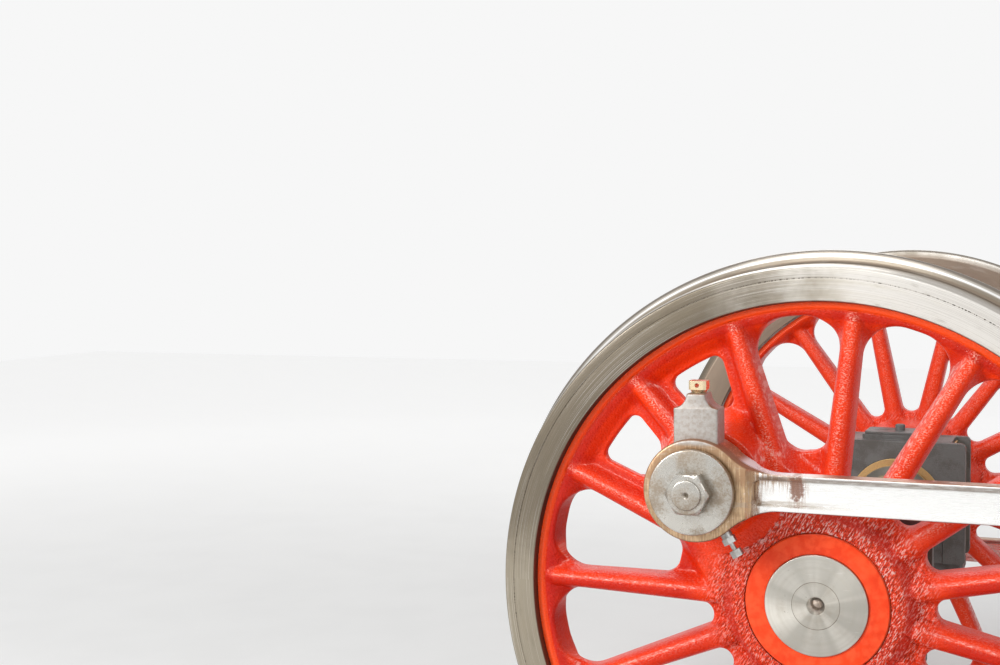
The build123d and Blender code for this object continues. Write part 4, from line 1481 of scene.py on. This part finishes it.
@dataclass
class CrankPin:
    """Crank pin with its washer and nut."""

    side: Side
    rod: float = -100.0
    journal: float = 55.0
    radius: float = 65.0
    seat: float = 75.0
    collar: float = 88.0
    spigot: float = 30.0
    spigot_length: float = 52.0
    washer: float = 16.0
    nut: float = 46.0
    nut_height: float = 30.0
    clearance: float = 0.05
    gap: float = 0.3

    def hexagon(self, start: float) -> Grid:
        """Nut with chamfered corners.

        Formula: at angle t the flat's radius is a / cos(t mod 60 - 30
        degrees), a being half the width across flats, and no point lies
        outside the chamfer's cone.

        Args:
            start: Depth of its seat.

        Returns:
            The grid and its wrap.
        """
        corner, hole = self.nut, self.spigot + self.clearance
        flat = corner * math.cos(math.pi / 6)
        t = np.linspace(0, 2 * math.pi, 144, endpoint=False)
        sides = flat / np.cos(np.mod(t, math.pi / 3) - math.pi / 6)
        rows = np.array([0.0, 0.0, 0.12, 0.45, 0.72, 0.80, 0.87, 0.94, 1.0, 1.0])
        chamfer = [corner + 1.5, corner - 1.0, corner - 3.5, corner - 6.0, flat - 2.0]
        cone = np.array([hole, *[corner + 9.0] * 3, *chamfer, hole])
        radius = np.minimum(sides[None, :], cone[:, None])
        radius[[0, -1]] = hole
        depth = start - rows[:, None] * self.nut_height
        x, y = self.side.pin
        return self.side.place(x + radius * np.cos(t), y + radius * np.sin(t), depth), Wrap.BOTH

    def build(self, finishes: Finishes) -> None:
        """Builds the pin and its nut and dresses them.

        Args:
            finishes: The materials.
        """
        side, name = self.side, self.side.name
        inner, outer = self.rod + self.journal, self.rod - self.journal
        end = outer - self.spigot_length
        pin = eased([
            (124.0, 0.01, 0.1), (124.0, self.seat, 3.0), (-40.3, self.seat, 0.5),
            (-40.3, self.collar, 1.5), (inner, self.collar, 2.0), (inner, self.radius, 1.0),
            (outer, self.radius, 1.5), (outer, self.spigot, 0.5), (end, self.spigot, 3.0),
            (end, 7.0, 0.8), (end + 7.0, 0.01, 0.3),
        ])
        piece = Surface().shell(side.turned(pin, side.pin)).build(f"turned_crank_pin_{name}", 32)
        dress(piece, finishes.pin, "wheelset", "bare_steel", f"crank_pin_{name}")
        start = outer - self.gap
        stop, hole, edge = start - self.washer, self.spigot + self.clearance, self.collar - 2.0
        washer = eased([(start, hole, 0.3), (start, edge, 1.5), (stop, edge, 3.0), (stop, hole, 0.3)])
        surface = Surface().shell(side.turned(washer, side.pin)).shell(self.hexagon(stop))
        piece = surface.build(f"chamfered_pin_nut_{name}", 32)
        dress(piece, finishes.pin, "wheelset", "bare_steel", f"pin_nut_{name}")


# Rods


@dataclass
class CouplingRod:
    """Coupling rod: a fluted beam that flares into two thick eyes with lugs on top."""

    side: Side
    depth: float = -100.0
    length: float = 1650.0
    eye: float = 104.0
    bush: float = 84.0
    bush_bore: float = 65.08
    bush_length: float = 104.0
    clearance: float = 0.05
    thick: float = 50.0
    height: float = 37.0
    half: float = 20.0
    flute: float = 25.0
    floor: float = 8.0
    flute_start: float = 116.0
    flute_corner: float = 12.0
    neck: float = 150.0
    cheek: float = 60.0
    lug_top: float = 194.0
    lug_deep: float = 30.0
    lug_wide: float = 46.0

    def outline(self, q: np.ndarray) -> tuple[np.ndarray, np.ndarray]:
        """Half height and half thickness of the beam at a distance from the pin.

        Formula: the height leaves the eye's circle on an arc of the neck's
        radius that touches both, and the thickness falls on an arc of the
        cheek's radius.

        Args:
            q: Distances from the nearer pin.

        Returns:
            Half heights and half thicknesses.
        """
        top = self.height + self.neck
        touch = math.sqrt((self.eye + self.neck) ** 2 - top ** 2)
        split = touch * self.eye / (self.eye + self.neck)
        on_arc = top - np.sqrt(np.maximum(self.neck ** 2 - np.maximum(touch - q, 0) ** 2, 0))
        on_eye = np.sqrt(np.maximum(self.eye ** 2 - q * q, 0)) - 0.5
        height = np.where(q < split, on_eye, on_arc)
        gain = self.thick - self.half
        run = math.sqrt(2 * self.cheek * gain - gain * gain)
        rest = np.clip(self.eye + 2.0 + run - q, 0, run)
        half = self.half + self.cheek - np.sqrt(self.cheek ** 2 - rest ** 2)
        return height, np.minimum(half, self.thick - 0.5)

    def beam(self) -> Grid:
        """Beam as a rounded section carried along the rod.

        Formula: each face is a row of fixed shares of the height, and the
        corners are quarter circles that grow towards the necks. Inside a
        rounded rectangle both faces sink to the flute's flat floor.

        Returns:
            The grid and its wrap.
        """
        mid = self.length / 2
        near = np.concatenate([
            np.linspace(66, 112, 24), np.linspace(113, 131, 37), np.linspace(133, 161, 15),
            [166.0, 176.0, 190.0, 210.0, 235.0],
        ])
        far = np.linspace(265, mid, 12)
        q = np.concatenate([near, far, far[-2::-1], near[::-1]])
        along = np.concatenate([near, far, self.length - far[-2::-1], self.length - near[::-1]])
        height, half = self.outline(q)
        corner = (4.0 + 3.5 * rise(-q, -175.0, -115.0))[:, None]
        wall = np.array([-21.0, -13.0, -6.0, -3.0, -1.4, -0.6, 0.2, 1.0, 2.0]) + self.flute
        h, w = height[:, None], half[:, None]
        span = (h - corner - wall[-1]) * np.array([0.4, 1.0])
        inner = np.repeat(np.concatenate([-wall[::-1], wall])[None, :], len(q), 0)
        rows = np.hstack([-wall[-1] - span[:, ::-1], inner, wall[-1] + span])
        arc = np.linspace(0, math.pi / 2, 6)[1:-1][None, :]
        rising, falling = corner * np.sin(arc), corner * np.cos(arc)
        flank = np.ones_like(rows) * w
        top = np.repeat(h, 9, 1)
        across = np.linspace(-1, 1, 9)[None, :] * (w - corner)
        inset_h, inset_w = h - corner, w - corner
        z = np.hstack([
            rows, inset_h + rising, top, inset_h + falling,
            rows[:, ::-1], -inset_h - rising, -top, -inset_h - falling,
        ])
        y = np.hstack([
            flank, inset_w + falling, -across, -inset_w - rising,
            -flank, -inset_w - falling, across, inset_w + rising,
        ])
        on_flank = np.abs(np.abs(y) - w) < 1e-6
        dx = np.maximum(self.flute_start + self.flute_corner - q, 0)[:, None]
        dz = np.maximum(np.abs(z) - (self.flute - self.flute_corner), 0)
        inside = rise(self.flute_corner - np.hypot(dx, dz), -0.7, 1.1) * on_flank
        y = y - np.sign(y) * (w - self.floor) * inside
        return self.row_place(along[:, None], z, y), Wrap.COLUMNS

    def row_place(self, along: np.ndarray, up: np.ndarray, out: np.ndarray) -> np.ndarray:
        """Row places of points of the rod.

        Args:
            along: Distances ahead of the rear pin.
            up: Heights above it.
            out: Distances outward of the rod's middle.

        Returns:
            Array (..., 3).
        """
        x = -self.side.sign * self.side.pin[0] + along
        y = self.side.sign * (FACE - self.depth + out)
        z = self.side.pin[1] + up
        return np.stack(np.broadcast_arrays(x, y, z), -1) * MM

    def lug(self, at: float) -> Grid:
        """Lug on top of an eye, with hollow shoulders below its narrow top.

        Formula: each row is a rectangle rounded by 5. Its half width follows
        an outline of straight lines and an arc of radius 30 about (49, top),
        its corners rounded, and its half depth is rounded over by 3 at the top.

        Args:
            at: Distance of the eye ahead of the rear pin.

        Returns:
            The grid and its wrap.
        """
        t = np.linspace(1.47, 0.0, 9)[1:-1]
        hollow = [(49.0 - 30.0 * math.cos(v), self.lug_top - 30.0 * math.sin(v), 0.0) for v in t]
        edge = eased([
            (0.0, 60.0, 0.0), (self.lug_wide, 60.0, 0.0), (self.lug_wide, 164.2, 4.0), *hollow,
            (19.0, self.lug_top, 2.5), (0.0, self.lug_top, 0.0),
        ])
        wide, up = edge[:, 0], edge[:, 1]
        lean = np.maximum(up - (self.lug_top - 3.0), 0)
        deep = self.lug_deep - 3.0 + np.sqrt(np.maximum(9.0 - lean * lean, 0))
        deep = np.where(wide < 0.1, 0.0, deep)
        t = np.linspace(0, 2 * math.pi, 40, endpoint=False) + math.pi / 40
        c, s = np.cos(t), np.sin(t)
        ring = np.minimum(5.0, np.minimum(wide, deep))[:, None]
        u = np.sign(c) * (wide[:, None] - ring) + ring * c
        v = np.sign(s) * (deep[:, None] - ring) + ring * s
        return self.row_place(at + u, up[:, None], v), Wrap.COLUMNS

    def sleeve(
        self, at: float, inner: Pair, outer: Pair, half: float, steps: int,
    ) -> tuple[np.ndarray, Pair]:
        """Outline of a sleeve round a pin, and its axis.

        Args:
            at: Distance of the pin ahead of the rear one.
            inner: Radius and corner radius of its bore.
            outer: Radius and corner radius of its outside.
            half: Half its length.
            steps: Number of spans of each corner's arc.

        Returns:
            The outline, and the axis in the wheel plane.
        """
        out, back = self.depth - half, self.depth + half
        outline = eased([(out, *inner), (out, *outer), (back, *outer), (back, *inner)], steps)
        return outline, (self.side.pin[0] - self.side.sign * at, self.side.pin[1])

    def build(self, finishes: Finishes) -> None:
        """Builds the rod and its fittings and dresses them.

        Args:
            finishes: The materials.
        """
        side, name = self.side, self.side.name
        body = f"rod_{name}"
        surface = Surface()
        beam, wrap = self.beam()
        caps = [np.repeat(ring.mean(1, keepdims=True), beam.shape[1], 1) for ring in (beam[:1], beam[-1:])]
        surface.shell((np.vstack([caps[0], beam, caps[1]]), wrap))
        ends = {"rear": 0.0, "front": self.length}
        for at in ends.values():
            bore = (self.bush + self.clearance, 0.8)
            outline, axis = self.sleeve(at, bore, (self.eye, 5.0), self.thick, 5)
            surface.shell(side.turned(outline, axis, 160))
            surface.shell(self.lug(at))
        piece = surface.build(f"fluted_coupling_rod_{name}", 36)
        dress(piece, finishes.rods[name], body, "rod_steel", f"coupling_rod_{name}")
        for end, at in ends.items():
            bore = (self.bush_bore, 1.2)
            outline, axis = self.sleeve(at, bore, (self.bush, 1.5), self.bush_length / 2, 4)
            piece = Surface().shell(side.turned(outline, axis)).build(f"bored_bush_{end}_{name}", 32)
            dress(piece, finishes.bronze, body, "bronze", f"rod_bush_{end}_{name}")
        for node, finish, slot in (
            ("oil_cups", finishes.cup, "brass"), ("set_screws", finishes.screw, "dark_steel"),
        ):
            dress(eased_copy(f"{node}_{name}", 0.9), finish, body, slot, f"{node}_{name}")


# Axleboxes


@dataclass
class AxleBoxes:
    """One side's axlebox with its brass, keep, liners, lid, spring strap and retaining ring."""

    side: Side
    ring_width: float = 10.9
    ring_at: float = 120.05
    ring_bore: float = 617.95
    ring_edge: float = 629.95

    def build(self, finishes: Finishes) -> None:
        """Eases the CAD solids' edges, turns the retaining ring and dresses them.

        Args:
            finishes: The materials.
        """
        name = self.side.name
        table = (
            ("axlebox", 2.5, finishes.iron, "grey_casting"),
            ("keep", 2.0, finishes.iron, "grey_casting"),
            ("oil_lid", 1.2, finishes.iron, "grey_casting"),
            ("spring_strap", 2.5, finishes.iron, "grey_casting"),
            ("bearing_brass", 1.0, finishes.bronze, "bronze"),
            ("horn_liners", 0.8, finishes.bronze, "bronze"),
        )
        for node, width, finish, slot in table:
            dress(eased_copy(f"{node}_{name}", width), finish, "axleboxes", slot, f"{node}_{name}")
        near, far = self.ring_at, self.ring_at + self.ring_width
        low, high = self.ring_bore, self.ring_edge
        outline = eased([(near, low, 0.6), (far, low, 0.6), (far, high, 0.6), (near, high, 0.6)], 3)
        ring = Surface().shell(self.side.turned(outline, segments=288))
        piece = ring.build(f"rolled_retaining_ring_{name}", 32)
        dress(piece, finishes.dark, "wheelset", "dark_steel", f"retaining_ring_{name}")


# Studio


def seen(tree: bpy.types.NodeTree) -> bpy.types.NodeSocket:
    """Tells the rays that look at the studio from the light that falls on the object.

    Args:
        tree: Node tree that the nodes join.

    Returns:
        1 for rays of the camera, of gloss and through glass, and 0 for others.
    """
    path = tree.nodes.new("ShaderNodeLightPath")
    value = path.outputs["Is Camera Ray"]
    for name in ("Is Glossy Ray", "Is Transmission Ray"):
        both = tree.nodes.new("ShaderNodeMath")
        both.operation = "MAXIMUM"
        tree.links.new(value, both.inputs[0])
        tree.links.new(path.outputs[name], both.inputs[1])
        value = both.outputs[0]
    return value


@dataclass
class Studio:
    """Pale floor, soft lights, and a camera at the photograph's place."""

    floor: float = -0.7285
    floor_reach: float = 14.0
    lens: float = 49.75
    eye: Spot = (0.513, -3.646, 0.722)
    yaw: float = 23.23
    pitch: float = -3.17
    roll: float = -0.56

    def camera(self) -> None:
        """Sets the camera.

        Formula: forward is (-sin a cos p, cos a cos p, sin p), right is
        (cos a, sin a, 0), up is their cross product, and both are then turned
        by the roll.
        """
        a, p, r = (math.radians(v) for v in (self.yaw, self.pitch, self.roll))
        forward = Vector((-math.sin(a) * math.cos(p), math.cos(a) * math.cos(p), math.sin(p)))
        right = Vector((math.cos(a), math.sin(a), 0.0))
        up = right.cross(forward)
        side = math.cos(r) * right + math.sin(r) * up
        top = -math.sin(r) * right + math.cos(r) * up
        data = bpy.data.cameras.new("photo_camera")
        data.lens, data.sensor_width = self.lens, 36.0
        camera = placed("photo_camera", data)
        columns = zip(side, top, -forward, self.eye)
        camera.matrix_world = Matrix((*columns, (0.0, 0.0, 0.0, 1.0)))
        bpy.context.scene.camera = camera

    def ground(self) -> None:
        """Lays the pale floor, a flat grid of two spans each way."""
        line = np.linspace(-self.floor_reach, self.floor_reach, 3)
        x, y = np.meshgrid(line, line, indexing="ij")
        grid = np.stack([x, y, np.full_like(x, self.floor)], -1)
        piece = Surface().shell((grid, Wrap.NONE)).build("studio_floor")
        r = Recipe("pale_floor")
        r.colour = r.mix(r.noise(3.0, 2.0).step(0.3, 0.8), (0.76, 0.76, 0.755), (0.74, 0.74, 0.735))
        glow = r.math("SQRT", r.x * r.x + r.y * r.y).step(1.5, 9.0, 0.02, 0.52)
        piece.data.materials.append(r.finish(
            Roughness=0.9, Specular_IOR_Level=0.2,
            Emission_Color=(1.0, 1.0, 1.0, 1.0), Emission_Strength=Value(r, seen(r.tree)) * glow,
        ))
        piece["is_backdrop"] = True

    def world(self) -> None:
        """Lights the world evenly, and shows white to the camera and to gloss."""
        world = bpy.data.worlds.new("studio")
        bpy.context.scene.world = world
        world.use_nodes = True
        tree = world.node_tree
        tree.nodes.clear()
        level = tree.nodes.new("ShaderNodeMapRange")
        level.inputs["To Min"].default_value = 0.46
        level.inputs["To Max"].default_value = 0.93
        tree.links.new(seen(tree), level.inputs["Value"])
        back = tree.nodes.new("ShaderNodeBackground")
        back.inputs["Color"].default_value = (1.0, 1.0, 1.0, 1.0)
        tree.links.new(level.outputs[0], back.inputs["Strength"])
        out = tree.nodes.new("ShaderNodeOutputWorld")
        tree.links.new(back.outputs[0], out.inputs[0])

    def lamp(self, name: str, spot: Spot, aim: Spot, size: Pair, power: float) -> None:
        """Adds an area lamp turned towards a point.

        Args:
            name: Its name.
            spot: Its place.
            aim: The point.
            size: Its width and height in metres.
            power: Its power in watts.
        """
        data = bpy.data.lights.new(name, "AREA")
        data.shape = "RECTANGLE"
        data.size, data.size_y, data.energy = *size, power
        lamp = placed(name, data)
        lamp.location = spot
        lamp.rotation_mode = "QUATERNION"
        lamp.rotation_quaternion = (Vector(aim) - Vector(spot)).to_track_quat("-Z", "Y")

    def build(self) -> None:
        """Sets up the whole studio."""
        self.camera()
        self.ground()
        self.world()
        self.lamp("strip", (-3.2, -4.8, 2.3), (0.0, -0.6, 0.1), (1.3, 1.9), 205.0)
        self.lamp("sky", (-0.6, -2.6, 5.2), (0.1, -0.5, 0.0), (3.4, 2.0), 80.0)
        self.lamp("fill", (4.2, -4.4, 2.6), (0.2, -0.5, 0.0), (3.0, 3.0), 50.0)
        self.lamp("back", (-1.5, 4.8, 4.0), (0.2, 0.4, 0.0), (3.0, 3.0), 95.0)
        bpy.context.scene.view_settings.view_transform = "Standard"


def corners() -> list[list[float]]:
    """Lowest and highest corner of the shown object."""
    return [list(corner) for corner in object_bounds()]


def main() -> None:
    """Builds every piece in order."""
    logging.basicConfig(level=logging.INFO, format="%(name)s: %(message)s")
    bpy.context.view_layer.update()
    finishes = Finishes()
    Axle().build(finishes)
    for side in SIDES:
        Tyre(side).build(finishes)
        WheelCentre(side).build(finishes)
        CrankPin(side).build(finishes)
        CouplingRod(side).build(finishes)
        AxleBoxes(side).build(finishes)
    Studio().build()


if __name__ == "__main__":
    main()
